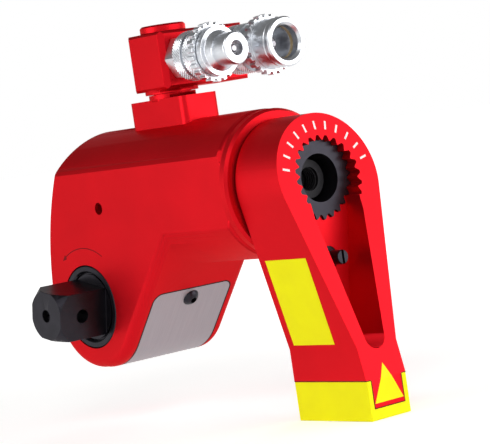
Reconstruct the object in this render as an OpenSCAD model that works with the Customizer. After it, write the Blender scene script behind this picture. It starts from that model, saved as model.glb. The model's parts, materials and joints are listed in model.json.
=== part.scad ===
// Square drive hydraulic torque wrench.
// The drive axis is Y, the piston axis is X, and the swivel stands on top along Z.
// Modules are laid out about the middle plane of the tool and then moved so that
// the origin lies on the drive axis, in the face that the square stands out of.

/* [Square drive] */
// Width across the flats of the square
square_size = 25.4; // [19:0.1:28]
// Length of the square beyond the housing face
square_len = 29.2; // [22:0.1:40]
// Turn of the square about its axis, degrees
square_turn = 12.6; // [-45:0.1:45]
// Radius that the turned tip chamfer starts from
square_tip_r = 13.2; // [12.8:0.1:16]
// Slope of the turned tip chamfer, degrees from the axis
square_tip_slope = 40; // [25:1:60]
// Radius of the cross hole for the socket pin
cross_hole_r = 3.75; // [2:0.05:5]
// Distance of the cross hole from the tip
cross_hole_back = 14.4; // [12:0.1:17]
// Radius of the hole in the end of the square
end_hole_r = 3.4; // [2:0.05:4.5]
// Depth of the hole in the end of the square
end_hole_depth = 9; // [6:0.1:9.5]
// Depth of the slotted plug below the end of the square
plug_depth = 3; // [1:0.1:4]
// Length of the slotted plug
plug_len = 4.5; // [3:0.1:5]
// Thickness of the collar behind the square
collar_t = 1.6; // [1:0.1:2.2]
// Depth of the ratchet hub below the housing face
hub_sink = 2.5; // [2.4:0.1:4]
// Step of the collars below the hub's radius
collar_step = 1; // [0.5:0.1:1.5]

/* [Housing] */
// Width of the housing across its flat sides
body_w = 66.5; // [64:0.5:76]
// Height of the piston axis above the drive axis
axis_h = 54; // [53:0.5:58]
// Radius of the nose round the drive
nose_r = 33.5; // [33:0.5:36]
// Radius of the toe, where the nose runs into the front wall
toe_r = 30; // [27:0.5:32]
// Distance of the toe centre ahead of the drive axis
toe_x = 5; // [2:0.5:8]
// Lean of the front wall from the vertical, degrees
front_lean = 39.6; // [34:0.2:44]
// Radius of the bowed back
back_r = 154; // [140:1:180]
// Radius of the barrel
barrel_r = 37.6; // [37:0.1:42]
// Front end of the barrel, ahead of the drive axis
barrel_end = 133; // [131:0.5:150]
// Chamfer in front of the barrel's flats
barrel_chamfer = 2.8; // [1:0.1:3]
// Radius of the round ring at the barrel's front end
end_ring_r = 37.2; // [36:0.1:40]
// Length of the round ring
end_ring_l = 4.8; // [3:0.1:6]
// Width of the groove behind the round ring
end_groove = 1; // [0.6:0.1:2]
// Chamfer of the round ring
end_chamfer = 1.4; // [0.5:0.1:2]
// Rounding of the bowed back's side edges
back_edge = 1.5; // [0.5:0.1:5]
// Rounding of the housing's side edges
edge_r = 5; // [2:0.5:7]
// Radius of the grease hole in the side wall
grease_r = 3.2; // [1.5:0.1:4]
// Grease hole, ahead of the drive axis
grease_x = 20.8; // [14:0.2:24]
// Grease hole, below the piston axis
grease_drop = 2; // [0:0.1:6]

/* [Shroud] */
// Thickness of the sheet
shroud_t = 1.6; // [1:0.1:2.4]
// Width of the sheet
shroud_w = 52; // [40:0.5:54]
// Height of its top edge along the front wall, from the toe centre
shroud_top = 33.5; // [30:0.5:38]
// Distance of its rear edge behind the drive axis
shroud_rear = 9; // [7:0.5:14]
// Rounding of its corners
shroud_corner = 5; // [2:0.5:8]
// Distance of the front screw below the top edge
screw_drop = 6.4; // [5.5:0.1:9]
// Radius of a screw head
screw_head_r = 4.8; // [3:0.1:5]
// Height of a screw head
screw_head_h = 2.9; // [1.5:0.1:3.4]
// Radius of a screw shank
screw_r = 2; // [1.5:0.1:2.5]
// Length of a screw shank in the housing
screw_len = 3.6; // [2:0.1:4]
// Width across the corners of a screw's hex recess
screw_hex = 3.8; // [2:0.1:4]
// Height of the flat screw's countersunk head
flat_head = 1.1; // [0.8:0.1:1.2]
// Depth of the flat screw below the sheet's face
flat_sink = 0.3; // [0.2:0.1:0.4]

/* [Ratchet and crank] */
// Teeth of the ratchet
ratchet_teeth = 24; // [18:1:30]
// Root radius of the ratchet teeth
ratchet_root = 19.5; // [19.2:0.1:20.5]
// Height of the ratchet teeth
tooth_h = 3; // [2:0.1:3.2]
// Half width of the toothed disc
ratchet_half = 10; // [8:0.1:11]
// Radius of the ratchet hubs
hub_r = 18.5; // [18:0.1:19]
// Outer radius of the drive bushes
bush_r = 22.7; // [21.5:0.1:24]
// Chamfer on the bushes
bush_chamfer = 0.9; // [0.3:0.1:1.5]
// Teeth of the shank spline
shank_teeth = 16; // [12:1:24]
// Root radius of the shank spline
shank_root = 12.6; // [11.5:0.1:13]
// Height of the shank spline teeth
shank_h = 1.8; // [1:0.1:2.2]
// Thickness of a crank plate
plate_t = 6; // [4:0.1:6.5]
// Radius of the crank plates round the hub
crank_hub_r = 25; // [24:0.1:26]
// Radius of the crank plates round the pin slot
crank_eye_r = 10.5; // [10:0.1:11.5]
// Radius of the rod pin
rod_pin_r = 5; // [4:0.1:5.4]
// Rod pin at rest, ahead of the drive axis
rod_pin_x = 20.8; // [16:0.2:22]
// Half width of the drive pawl
pawl_half = 8.5; // [7:0.1:9]
// Top of the drive pawl above the drive axis
pawl_top = 29.5; // [27:0.1:30]
// Rise of the pawl when it rides over a tooth
pawl_lift = 3.6; // [3.4:0.1:4]
// Thickness of the keeper's legs and roof
keeper_t = 5.6; // [5:0.1:6]
// Radius of a keeper dowel
dowel_r = 1.9; // [1.5:0.1:2.1]
// Outer radius of a pawl spring
pawl_spring_r = 2.8; // [2:0.1:3.2]
// Clearance beside the toothed disc
cheek_gap = 0.2; // [0.1:0.05:0.3]
// Clearance round the swinging crank
cavity_gap = 1.2; // [0.8:0.1:1.5]
// Room over the lifted pawl for its springs
spring_room = 1.2; // [0.6:0.1:2]
// Height of the dowels above the keeper's roof
dowel_rise = 1; // [0.5:0.1:2]

/* [Piston] */
// Radius of the piston bore
bore_r = 20; // [18:0.1:23]
// Stroke of the piston
stroke = 28; // [20:0.5:28]
// Thickness of the piston
piston_t = 16; // [12:0.5:18]
// Radius of the piston rod
rod_r = 9; // [8:0.1:9.4]
// Radius of the gland nose
gland_r = 14; // [13.2:0.1:15]
// Thickness of the gland flange
gland_flange_t = 8; // [7:0.1:9]
// Length of the gland nose
gland_nose_l = 21; // [16:0.5:22]
// Width of the seals
seal_w = 4; // [3:0.1:4.5]
// Depth of the seals
seal_t = 2.9; // [2:0.1:3.2]
// Room behind the piston for the oil
end_room = 2; // [1:0.1:3]
// Room ahead of the piston at full stroke
fore_room = 5; // [3:0.1:7]
// Step of the rod's spigot below the rod's radius
spigot_step = 1; // [0.5:0.1:2]
// Thickness of the piston left over the spigot
spigot_floor = 3; // [2:0.1:5]

/* [End cap] */
// Radius of the cap's thread
cap_r = 26; // [25.5:0.1:28]
// Depth of the cap in the barrel
cap_depth = 16; // [13:0.5:18]
// Front end of the splined post, ahead of the drive axis
post_end = 160.4; // [157:0.2:162]
// Teeth of the post
post_teeth = 24; // [18:1:30]
// Root radius of the post's teeth
post_root = 18.2; // [17.5:0.1:19]
// Height of the post's teeth
post_h = 2.4; // [1.6:0.1:2.6]
// Radius of the bore in the post
post_bore_r = 12; // [11:0.1:12.6]
// Depth of the bore in the post
post_bore_depth = 22; // [18:0.5:24]
// Outer radius of the tube plug
tube_r = 9.6; // [8:0.1:10.5]
// Inner radius of the tube plug
tube_hole_r = 6; // [4:0.1:7]
// Depth of the tube plug's end below the post's end
tube_sink = 7.8; // [5:0.1:9]
// Depth of the lock groove in the post
groove_depth = 1.8; // [1:0.1:2.2]
// Room beside the dog in the lock groove
groove_room = 1; // [0.5:0.1:1.5]
// Thickness of the tube plug's flange
tube_floor = 4; // [3:0.1:6]

/* [Reaction arm] */
// Back face of the arm, ahead of the barrel's end
arm_gap = 1.5; // [0.6:0.1:2]
// Front face of the arm at the piston axis, ahead of the drive axis
arm_front = 167.3; // [166:0.1:172]
// Slope of the front face, run over drop
arm_slope = 0.2; // [0.16:0.01:0.22]
// Radius of the ring
ring_r = 32; // [31:0.1:34]
// Half width of the foot
foot_half = 13.2; // [13:0.1:14.5]
// Taper of the arm's sides, run over drop
arm_taper = 0.238; // [0.22:0.002:0.26]
// Top of the foot guard, below the drive axis
guard_top = 45.1; // [40:0.1:50]
// Bottom of the foot, below the drive axis
foot_bottom = 64.6; // [60:0.1:75]
// Thickness of the foot guard
guard_t = 2; // [1.5:0.1:2.6]
// Width of the window in the guard
window_w = 20.4; // [16:0.1:21]
// Height of the strip below the window
window_sill = 5.6; // [4:0.1:9]
// Floor of the pocket, ahead of the drive axis
pocket_floor = 159; // [157:0.1:161]
// Half width of the pocket at its top
pocket_half = 16.2; // [15:0.1:17]
// Radius of the pocket's lower end
pocket_end_r = 6.6; // [6:0.1:7.5]
// Centre of the pocket's lower end, below the drive axis
pocket_end = 24.4; // [20:0.1:27]

/* [Lock] */
// Height of the lock pin above the drive axis
lock_z = 14.4; // [12:0.1:15]
// Radius of the lock pin's head
lock_head_r = 3.6; // [3:0.1:4.5]
// Radius of the lock pin's body
lock_body_r = 5.8; // [5.4:0.1:6]
// Radius of the lock pin's waist
lock_waist_r = 1.8; // [1.2:0.1:2.4]
// Push of the lock pin
lock_push = 9; // [7:0.1:9]
// Reach of the lock pin's head out of the pocket floor
lock_reach = 10.2; // [10:0.1:12]
// Width of the screwdriver slots
slot_w = 1.4; // [0.8:0.1:1.8]
// Depth of the screwdriver slots
slot_depth = 1.8; // [1:0.1:2]
// Radius of the lock dog
dog_r = 3; // [2.4:0.1:3.4]
// Lock dog, ahead of the arm's back face
dog_in = 12.5; // [12:0.1:14]
// Start of the lock pin's ramp, behind the dog's axis
ramp_lead = 1; // [0.5:0.1:1.5]
// Clearance between the dog and the ramp
dog_gap = 0.2; // [0.1:0.05:0.3]
// Depth of the lock pin's shoulder below the pocket floor
shoulder_sink = 0.5; // [0.3:0.1:1]
// Chamfer of the lock pin's head
lock_chamfer = 0.5; // [0.2:0.1:1]

/* [Retainer] */
// Radius of the retainer knob
knob_r = 16; // [14:0.1:17.5]
// Height of the retainer knob
knob_h = 8; // [7:0.1:10]
// Radius of the shank's stub in the knob
stub_r = 9; // [8:0.1:10]
// Radius of the button's nose
button_r = 5; // [4:0.1:5.6]
// Width of the button's flange
button_flange = 2; // [1.5:0.1:2.5]
// Travel of the button
button_push = 3; // [2:0.1:3]
// Height of the button out of the knob
button_out = 2.6; // [2:0.1:3.5]
// Length of the stub in the knob
stub_in = 1.2; // [0.8:0.1:1.5]
// Thickness of the knob's lip over the button
knob_lip = 1; // [0.8:0.1:1.5]
// Step of the button's flange beyond its nose
button_step = 2; // [1:0.1:2.5]
// Chamfer of the knob
knob_chamfer = 1.2; // [0.5:0.1:2]

/* [Swivel] */
// Swivel axis, ahead of the drive axis
swivel_x = 55.6; // [52:0.2:60]
// Length of the swivel base
base_l = 47; // [42:0.5:52]
// Width of the swivel base
base_w = 24; // [24:0.5:28]
// Height of the swivel base
base_h = 15.8; // [12:0.2:20]
// Rounding of the base's upright edges
base_corner = 4; // [2:0.5:6]
// Radius of the neck
neck_r = 12.4; // [11:0.1:13]
// Height of the neck
neck_h = 2.4; // [1.5:0.1:4]
// Radius of the pad under the block
pad_r = 14; // [12.5:0.1:14.5]
// Height of the pad under the block
pad_h = 1.9; // [1:0.1:3]
// Length of the block along the tool
block_l = 29.5; // [29:0.5:34]
// Height of the block
block_h = 29.9; // [28:0.1:32]
// Reach of the block on the drive side of the swivel axis
block_near = 14.2; // [14:0.1:17]
// Reach of the block on the far side of the swivel axis
block_far = 43; // [42:0.5:48]
// Chamfer of the block's upper and lower edges
block_chamfer = 1.4; // [0.6:0.1:2.4]
// Chamfer of the block's upright edges
block_edge = 2.6; // [1:0.1:3.2]
// Radius of the swivel post
pivot_r = 10; // [9:0.1:10.6]
// Radius of the post's thread in the base
pivot_thread_r = 7.6; // [6:0.1:7.8]
// Radius of the post's head
pivot_head_r = 12; // [11:0.1:13.5]
// Height of the post's head
pivot_head_h = 3.7; // [3:0.1:6]
// Radius of an O-ring's section
oring_r = 0.95; // [0.7:0.05:1]
// Depth of the base's seat below the barrel at the seat's edge
seat_sink = 1.1; // [0.8:0.1:2]
// Depth of the post's thread below the seat
thread_sink = 6; // [4:0.1:7]
// Chamfer of the post's head
head_chamfer = 1; // [0.5:0.1:2]

/* [Couplers] */
// Male coupler, from the swivel axis towards the drive side
male_y = 2; // [0:0.1:2.2]
// Female coupler, from the swivel axis towards the far side
female_y = 29; // [28.6:0.1:30]
// Width across the corners of the hex adaptors
hex_w = 23.6; // [21:0.1:25]
// Thickness of the hex adaptors
hex_t = 8; // [5:0.1:9]
// Radial depth of the chamfers at the hexes' corners
hex_cut = 1.2; // [0.5:0.1:1.3]
// Radius of the adaptors' threads
thread_r = 5; // [4.4:0.1:5.6]
// Length of the adaptors' threads
thread_l = 4.2; // [3:0.1:4.4]
// Length of the adaptors' threads in the couplers
thread_out = 4; // [3:0.1:4.5]
// Radius of the oil way
oil_r = 2.4; // [1.5:0.1:3]
// Radius of the knurled grips
grip_r = 12.8; // [12:0.1:13.4]
// Radius of the groove between the grips
grip_groove_r = 11.2; // [10.9:0.1:11.8]
// Length of one knurled grip
grip_l = 6.4; // [5:0.1:7]
// Width of the groove between the grips
grip_groove_l = 2; // [1:0.1:3]
// Radius of the journal under the lock ring and the sleeve
journal_r = 10.6; // [10.4:0.1:11]
// Width of the notched rings
ring_l = 4.6; // [3.5:0.1:5]
// Outer radius of the male lock ring
notch_r = 15.4; // [14:0.1:16]
// Outer radius of the notched collar of the sleeve
collar_r = 15.8; // [14:0.1:16.4]
// Depth of the notches
notch_h = 1.4; // [0.8:0.1:1.6]
// Notches of a ring
notches = 22; // [12:1:26]
// Radius of the male flange
flange_r = 13; // [11:0.1:13.6]
// Thickness of the male flange
flange_t = 4; // [2:0.1:4.6]
// Length of the cone ahead of the flange
cone_l = 3; // [2:0.1:5]
// Radius of the cone at the flange
cone_r = 10.4; // [9.4:0.1:11]
// Radius of the male nipple
nipple_r = 8.5; // [8:0.05:8.6]
// Length of the male nipple
nipple_l = 10; // [9:0.1:13]
// Radius of the hole in the nipple
nipple_hole_r = 4; // [3.2:0.05:4.4]
// Radius of the valve chambers
chamber_r = 6; // [5.8:0.1:6.2]
// Radius of the poppet flanges
poppet_flange_r = 5.5; // [5:0.1:5.6]
// Thickness of the poppet flanges
poppet_flange_t = 3.6; // [2.5:0.1:4]
// Travel of the poppets
poppet_push = 4; // [2:0.1:4]
// Depth of the male poppet below the nipple's end
poppet_sink = 2; // [1:0.1:3]
// Radius of the poppets' tips
poppet_tip_r = 2; // [1.4:0.1:2.1]
// Length of the poppets' tips
poppet_tip_l = 2; // [1:0.1:2.4]
// Radius of the female poppet
female_poppet_r = 4.5; // [3.6:0.1:4.8]
// Length of the female coupler ahead of its adaptor
female_l = 40.5; // [40:0.5:46]
// Radius of the female coupler's end and sleeve
sleeve_r = 13; // [12.4:0.1:13.4]
// Thickness of the female coupler's end
lip_t = 3.4; // [3:0.1:4.5]
// Travel of the sleeve
sleeve_pull = 3; // [2:0.1:4]
// Depth of the female socket
socket_depth = 20.5; // [18:0.5:21]
// Chamfer at the mouth of the female socket
mouth_chamfer = 1.5; // [0.5:0.1:1.8]
// Width of the seal ring in the socket
seal_ring_l = 2; // [1.5:0.1:3]
// Depth of the seal ring below the socket's mouth
seal_ring_sink = 5.5; // [5:0.1:7]
// Thickness of the seal ring
seal_ring_t = 1; // [0.6:0.1:1.1]
// Thickness of the male valve seat
seat_t = 3; // [2.5:0.1:4]
// Thickness of the female valve seat
web_t = 4; // [3:0.1:5]
// Depth of the female poppet below the seal ring
nose_sink = 3; // [2:0.1:4]
// Chamfer of the couplers' ends
rim_chamfer = 0.8; // [0.3:0.1:1.2]
// Chamfer of the male poppet
poppet_chamfer = 0.6; // [0.3:0.1:1]
// Chamfer of the female poppet
nose_chamfer = 1.5; // [0.5:0.1:2]
// Chamfer of the sleeve
sleeve_chamfer = 0.5; // [0.3:0.1:1]

/* [Fits] */
// Radial clearance of running fits
run_gap = 0.05; // [0.02:0.01:0.09]
// Clearance of pieces that are pressed or screwed home
seat_gap = 0.02; // [0.01:0.01:0.04]
// Clearance between flat faces that pass each other
side_gap = 0.3; // [0.2:0.05:0.4]
// Clearance between meshing teeth
tooth_gap = 0.25; // [0.2:0.05:0.3]
// Distance that cuts and joined pieces run past a face
overrun = 1; // [0.5:0.1:1.5]

/* [Hidden] */
$fn = 64;

red = "#c8121e";
black = "#2b2a30";
steel = "#9b979c";
zinc = "#c9cdd2";
yellow = "#ffe600";

// Housing
half_w = body_w / 2;
front_half = half_w - seat_gap;
toe_z = toe_r - nose_r;
front_n = [cos(front_lean), -sin(front_lean)];
front_d = toe_r + toe_x * front_n[0] + toe_z * front_n[1];
wall_len = (axis_h - toe_z + toe_r * sin(front_lean) / 2) / cos(front_lean);
back_x = back_r - nose_r;
far = 2 * (barrel_end + barrel_r);
flat_end = barrel_end - end_ring_l - end_groove;
groove_r = barrel_r - barrel_chamfer;
piston_x1 = barrel_end - cap_depth - end_room;
piston_x0 = piston_x1 - piston_t;
gland_x1 = piston_x0 - stroke - fore_room;
gland_x0 = gland_x1 - gland_flange_t;
post_start = barrel_end + side_gap;

// Crank
ratchet_tip = ratchet_root + tooth_h;
plate_in = ratchet_half + cheek_gap;
plate_out = plate_in + plate_t;
cavity_half = plate_out + side_gap;
crank_rest = atan(rod_pin_x / axis_h);
crank_end = atan((rod_pin_x - stroke) / axis_h);
pin_far = axis_h / cos(crank_rest);
eye_d = (axis_h + pin_far) / 2;
slot_half = rod_pin_r + 2 * side_gap;
cavity_steps = 6;
keeper_in = pawl_half + side_gap;
keeper_out = keeper_in + keeper_t;
keeper_roof = pawl_top + pawl_lift + spring_room;
keeper_top = keeper_roof + keeper_t;
dowel_x = (keeper_in + keeper_out) / 2;
dowel_z = keeper_roof + dowel_rise;
spring_x = pawl_half / 2;
hub_end = half_w - hub_sink;

// Retainer
knob_y = half_w + side_gap;
knob_top = knob_y + knob_h;
stub_end = knob_y + stub_in;
lip_y = knob_top - knob_lip;
button_flange_y = lip_y - 2 * run_gap - button_flange;
button_bore_r = button_r + button_step;

// Arm and lock
arm_back = barrel_end + arm_gap;
ring_angle = atan(arm_taper);
ring_side = ring_r * cos(ring_angle);
ring_side_z = axis_h - ring_r * sin(ring_angle);
kink_z = ring_side_z - (ring_side - foot_half) / arm_taper;
foot_front = arm_front + arm_slope * (axis_h + guard_top);
post_tip = post_root + post_h;
dog_x = arm_back + dog_in;
dog_rise = groove_depth + post_h;
ramp_x0 = dog_x - ramp_lead;
ramp_x1 = ramp_x0 + lock_push;
ramp_rise = lock_body_r - lock_waist_r;
dog_lift = ramp_rise;
ramp_angle = atan(ramp_rise / lock_push);
lock_bore_r = lock_body_r + run_gap;
dog_base = lock_z + lock_waist_r + ramp_lead * tan(ramp_angle) + (dog_r + dog_gap) / cos(ramp_angle);
dog_top = axis_h - post_tip - 2 * side_gap;

// Swivel stack
seat_z = axis_h + sqrt(barrel_r * barrel_r - base_w * base_w / 4) - seat_sink;
base_z = seat_z + base_h;
neck_z = base_z + neck_h;
pad_z = neck_z + side_gap;
block_z = pad_z + pad_h;
block_top = block_z + block_h;
head_z = block_top + side_gap;
port_z = block_z + block_h / 2;
port_x = swivel_x + block_l / 2;
pivot_root = seat_z - thread_sink;

// Couplers, as distances from the block's face
stub_s = hex_t + thread_out;
grip2_s = hex_t + grip_l + grip_groove_l;
journal_s = grip2_s + grip_l;
flange_s = journal_s + ring_l + 2 * side_gap;
cone_s = flange_s + flange_t;
nipple_s = cone_s + cone_l;
male_s = nipple_s + nipple_l;
male_seat_s = male_s - poppet_sink - seat_t;
socket_r = nipple_r + run_gap;
female_s = hex_t + female_l;
socket_s = female_s - socket_depth;
web_s = socket_s - web_t;
lip_s = female_s - lip_t;
sleeve_s = journal_s + ring_l + 2 * side_gap + sleeve_pull;

// Moves a shape from the middle plane to the drive face
module on_face() {
    translate([0, half_w, 0]) children();
}

// Turns a crank shape from upright to its rest angle
module at_crank() {
    rotate([0, crank_rest, 0]) children();
}

// Cylinder along Y on the drive axis
module disc(r, y0, y1) {
    translate([0, y0, 0]) rotate([-90, 0, 0]) cylinder(r = r, h = y1 - y0);
}

// Cylinder along X at a given height
module shaft(r, x0, x1, z = axis_h) {
    translate([x0, 0, z]) rotate([0, 90, 0]) cylinder(r = r, h = x1 - x0);
}

// Side outline made solid between two planes across Y
module plate(y0, y1) {
    translate([0, y1, 0]) rotate([90, 0, 0]) linear_extrude(y1 - y0) children();
}

// End outline made solid between two planes across X
module slice(x0, x1) {
    translate([x0, 0, 0]) rotate([90, 0, 90]) linear_extrude(x1 - x0) children();
}

// Profile of radius and Y, turned about the drive axis
module turned_y() {
    rotate([-90, 0, 0]) rotate_extrude() children();
}

// Profile of radius and X, turned about the piston axis
module turned_x() {
    translate([0, 0, axis_h]) rotate([0, 90, 0]) rotate_extrude() children();
}

// Profile of radius and distance, turned about a port of the swivel block
module on_port(y) {
    translate([port_x, y, port_z]) rotate([0, 90, 0]) children();
}

// Rectangle from a low corner to a high corner
module box2(low, high) {
    translate(low) square(high - low);
}

// Ring section between two radii
module band(r0, r1, s0, s1) {
    box2([r0, s0], [r1, s1]);
}

// Rectangle with round corners about the origin
module round_rect(l, w, r) {
    square([l - 2 * r, w], center = true);
    square([l, w - 2 * r], center = true);
    for (sx = [-1, 1], sy = [-1, 1])
        translate([sx * (l / 2 - r), sy * (w / 2 - r)]) circle(r);
}

// Section of a wall whose outer two edges are rounded
module rounded_wall(depth, half, e = edge_r) {
    box2([0, -half], [depth - e, half]);
    box2([0, e - half], [depth, half - e]);
    for (side = [-1, 1])
        translate([depth - e, side * (half - e)]) circle(e);
}

// Two circles and the tangents between them, the second at a height above the first
module tangent_link(r1, r2, d) {
    lean = asin((r1 - r2) / d);
    low = [r1 * cos(lean), r1 * sin(lean)];
    high = [r2 * cos(lean), d + r2 * sin(lean)];
    circle(r1);
    translate([0, d]) circle(r2);
    polygon([low, high, [-high[0], high[1]], [-low[0], low[1]]]);
}

function polar(r, a) = [r * cos(a), r * sin(a)];
function arc_deg(len, r) = len / r * 180 / PI;

// Star of teeth; each tooth is a list of angle share and height share, and gap swells it all round
module toothed(n, root, h, tooth, gap = 0) {
    swell = arc_deg(gap, root);
    last = len(tooth) - 1;
    polygon([for (i = [0 : n - 1], k = [0 : last])
        polar(root + gap + h * tooth[k][1],
            (i + tooth[k][0]) * 360 / n + swell * (k < len(tooth) / 2 ? -1 : 1))]);
}

spline_tooth = [[-0.4, 0], [-0.08, 1], [0.08, 1], [0.4, 0]];
ratchet_tooth = [[0.02, 0], [0.26, 1], [0.36, 1], [0.93, 0]];
notch_tooth = [[-0.32, 0], [-0.24, 1], [0.24, 1], [0.32, 0]];

// Side outline of the nose, the toe and the front wall, drawn in by a given depth
module nose_outline(inset = 0) {
    circle(nose_r - inset);
    translate([toe_x, toe_z]) circle(toe_r - inset);
    box2([0, inset - nose_r], [toe_x, 0]);
    translate([toe_x, toe_z]) rotate(-front_lean) box2([0, 0], [toe_r - inset, shroud_top]);
}

// Part of the nose that the shroud covers
module shroud_reach() {
    box2([-shroud_rear, -2 * nose_r], [toe_x + nose_r, 0]);
    translate([toe_x, toe_z]) rotate(-front_lean) box2([0, -toe_r], [2 * toe_r, shroud_top]);
}

// Sheet of the shroud, or with room outside it the recess that it lies in
module shroud_sheet(room = 0) {
    intersection() {
        plate(-shroud_w / 2, shroud_w / 2)
            intersection() {
                difference() {
                    nose_outline(-room);
                    nose_outline(shroud_t);
                }
                shroud_reach();
            }
        // Round corners at the top edge, cut square to the front wall
        translate([toe_x, 0, toe_z]) rotate([0, front_lean, 0]) translate([-far / 2, 0, 0])
            rotate([90, 0, 90]) linear_extrude(far)
                translate([0, shroud_top - far / 2]) round_rect(shroud_w, far, shroud_corner);
    }
}

// Shank of a screw below the sheet's face, swelled by a gap
module screw_shank(gap, top = 0) {
    translate([0, 0, -screw_len - shroud_t]) cylinder(r = screw_r + gap, h = screw_len + shroud_t + top);
}

// Places the domed screw on the front wall
module at_front_screw() {
    translate([toe_x, 0, toe_z]) rotate([0, front_lean, 0])
        translate([toe_r, 0, shroud_top - screw_drop]) rotate([0, 90, 0]) children();
}

// Places the flat screw under the nose
module at_flat_screw() {
    translate([0, 0, -nose_r]) rotate([180, 0, 0]) children();
}

// Profile of the countersunk head, swelled by a gap and carried on up to a given height
module flat_profile(gap, top) {
    low = -flat_sink - flat_head;
    polygon([[0, low], [screw_r + gap, low], [screw_r + flat_head + gap, -flat_sink],
        [screw_r + flat_head + gap, top], [0, top]]);
}

// Side outline of the space that the crank swings in
module crank_room() {
    circle(crank_hub_r + cavity_gap);
    for (i = [0 : cavity_steps])
        rotate(-(crank_end + (crank_rest - crank_end) * i / cavity_steps))
            tangent_link(crank_hub_r + cavity_gap, crank_eye_r + cavity_gap, eye_d);
}

module housing_outside() {
    turned_y() rounded_wall(nose_r, front_half);
    translate([toe_x, 0, toe_z]) {
        turned_y() rounded_wall(toe_r, front_half);
        rotate([0, front_lean, 0]) linear_extrude(wall_len) rounded_wall(toe_r, front_half);
    }
    plate(edge_r - front_half, front_half - edge_r) box2([0, -nose_r], [toe_x, 0]);
    intersection() {
        translate([back_x, 0, 0]) turned_y() rounded_wall(back_r, half_w, back_edge);
        union() {
            plate(-half_w, half_w)
                polygon([[-nose_r, 0], [-nose_r, axis_h],
                    [(front_d - front_n[1] * axis_h) / front_n[0] - 2 * edge_r, axis_h],
                    [front_d / front_n[0] - 2 * edge_r, 0]]);
            turned_x() polygon([[0, -nose_r], [barrel_r, -nose_r], [barrel_r, flat_end - barrel_chamfer],
                [groove_r, flat_end], [0, flat_end]]);
        }
    }
    turned_x() polygon([[0, flat_end - overrun], [cap_r + overrun, flat_end - overrun],
        [cap_r + overrun, flat_end], [groove_r, flat_end], [groove_r, flat_end + end_groove],
        [end_ring_r, flat_end + end_groove], [end_ring_r, barrel_end - end_chamfer],
        [end_ring_r - end_chamfer, barrel_end], [0, barrel_end]]);
}

module housing() {
    color(red) on_face() difference() {
        housing_outside();
        plate(-cavity_half, cavity_half) crank_room();
        disc(bush_r + seat_gap, -half_w - overrun, half_w + overrun);
        shaft(gland_r + seat_gap, 0, gland_x1);
        shaft(bore_r, gland_x0, barrel_end);
        shaft(cap_r + seat_gap, barrel_end - cap_depth, barrel_end + overrun);
        shroud_sheet(overrun);
        at_front_screw() screw_shank(seat_gap);
        at_flat_screw() screw_shank(seat_gap);
        translate([grease_x, -half_w - overrun, axis_h - grease_drop]) rotate([-90, 0, 0])
            cylinder(r = grease_r, h = half_w);
        translate([swivel_x, 0, seat_z]) linear_extrude(base_h) round_rect(base_l, base_w, base_corner);
        translate([swivel_x, 0, pivot_root]) cylinder(r = pivot_thread_r + seat_gap, h = base_h);
    }
}

// Plain bush with chamfered edges; side is -1 at the square and 1 at the retainer
module drive_bush(side) {
    c = bush_chamfer;
    y0 = cavity_half + 2 * run_gap;
    color(black) on_face() mirror([0, side < 0 ? 1 : 0, 0]) turned_y()
        polygon([[hub_r + run_gap, y0], [bush_r, y0], [bush_r, half_w - c], [bush_r - c, half_w],
            [hub_r + run_gap + c, half_w], [hub_r + run_gap, half_w - c]]);
}

module drive_bush_front() {
    drive_bush(-1);
}

module drive_bush_rear() {
    drive_bush(1);
}

module shroud() {
    color(steel) on_face() difference() {
        shroud_sheet();
        at_front_screw() screw_shank(seat_gap);
        at_flat_screw() screw_shank(seat_gap);
        at_flat_screw() rotate_extrude() flat_profile(seat_gap, overrun);
    }
}

module shroud_screws() {
    dome_r = (screw_head_r * screw_head_r + screw_head_h * screw_head_h) / (2 * screw_head_h);
    color(black) on_face() at_front_screw() difference() {
        union() {
            screw_shank(0);
            intersection() {
                translate([0, 0, screw_head_h - dome_r]) sphere(dome_r);
                cylinder(r = screw_head_r, h = screw_head_h);
            }
        }
        translate([0, 0, screw_head_h / 4]) cylinder(r = screw_hex / 2, h = screw_head_h, $fn = 6);
    }
    color(black) on_face() at_flat_screw() difference() {
        union() {
            screw_shank(0, -flat_sink);
            rotate_extrude() flat_profile(0, -flat_sink);
        }
        translate([0, 0, -flat_sink - flat_head])
            cylinder(r = screw_hex / 2, h = flat_head + overrun, $fn = 6);
    }
}

module gland() {
    seal_x = (gland_x0 + gland_x1 - seal_w) / 2;
    color("goldenrod") on_face() difference() {
        union() {
            shaft(gland_r, gland_x0 - gland_nose_l, gland_x1);
            shaft(bore_r - seat_gap, gland_x0 + seat_gap, gland_x1);
        }
        shaft(rod_r + run_gap, 0, barrel_end);
        shaft(rod_r + seal_t, seal_x, seal_x + seal_w);
    }
}

module rod_seal() {
    seal_x = (gland_x0 + gland_x1 - seal_w) / 2;
    color("darkgreen") on_face() turned_x()
        band(rod_r + run_gap, rod_r + seal_t - seat_gap, seal_x + seat_gap, seal_x + seal_w - seat_gap);
}

module end_cap() {
    seal_x = barrel_end - (cap_depth + seal_w) / 2;
    groove_half = dog_r + groove_room;
    color(black) on_face() difference() {
        union() {
            shaft(cap_r, barrel_end - cap_depth + seat_gap, barrel_end);
            shaft(post_root, barrel_end, post_end);
            translate([0, 0, axis_h]) slice(post_start, post_end)
                toothed(post_teeth, post_root, post_h, spline_tooth);
        }
        turned_x() band(cap_r - seal_t, cap_r + overrun, seal_x, seal_x + seal_w);
        turned_x()
            band(post_root - groove_depth, post_tip + overrun, dog_x - groove_half, dog_x + groove_half);
        shaft(post_bore_r, post_end - post_bore_depth, post_end + overrun);
    }
}

module end_cap_seal() {
    seal_x = barrel_end - (cap_depth + seal_w) / 2;
    color("darkgreen") on_face() turned_x()
        band(cap_r - seal_t + seat_gap, cap_r, seal_x + seat_gap, seal_x + seal_w - seat_gap);
}

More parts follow.
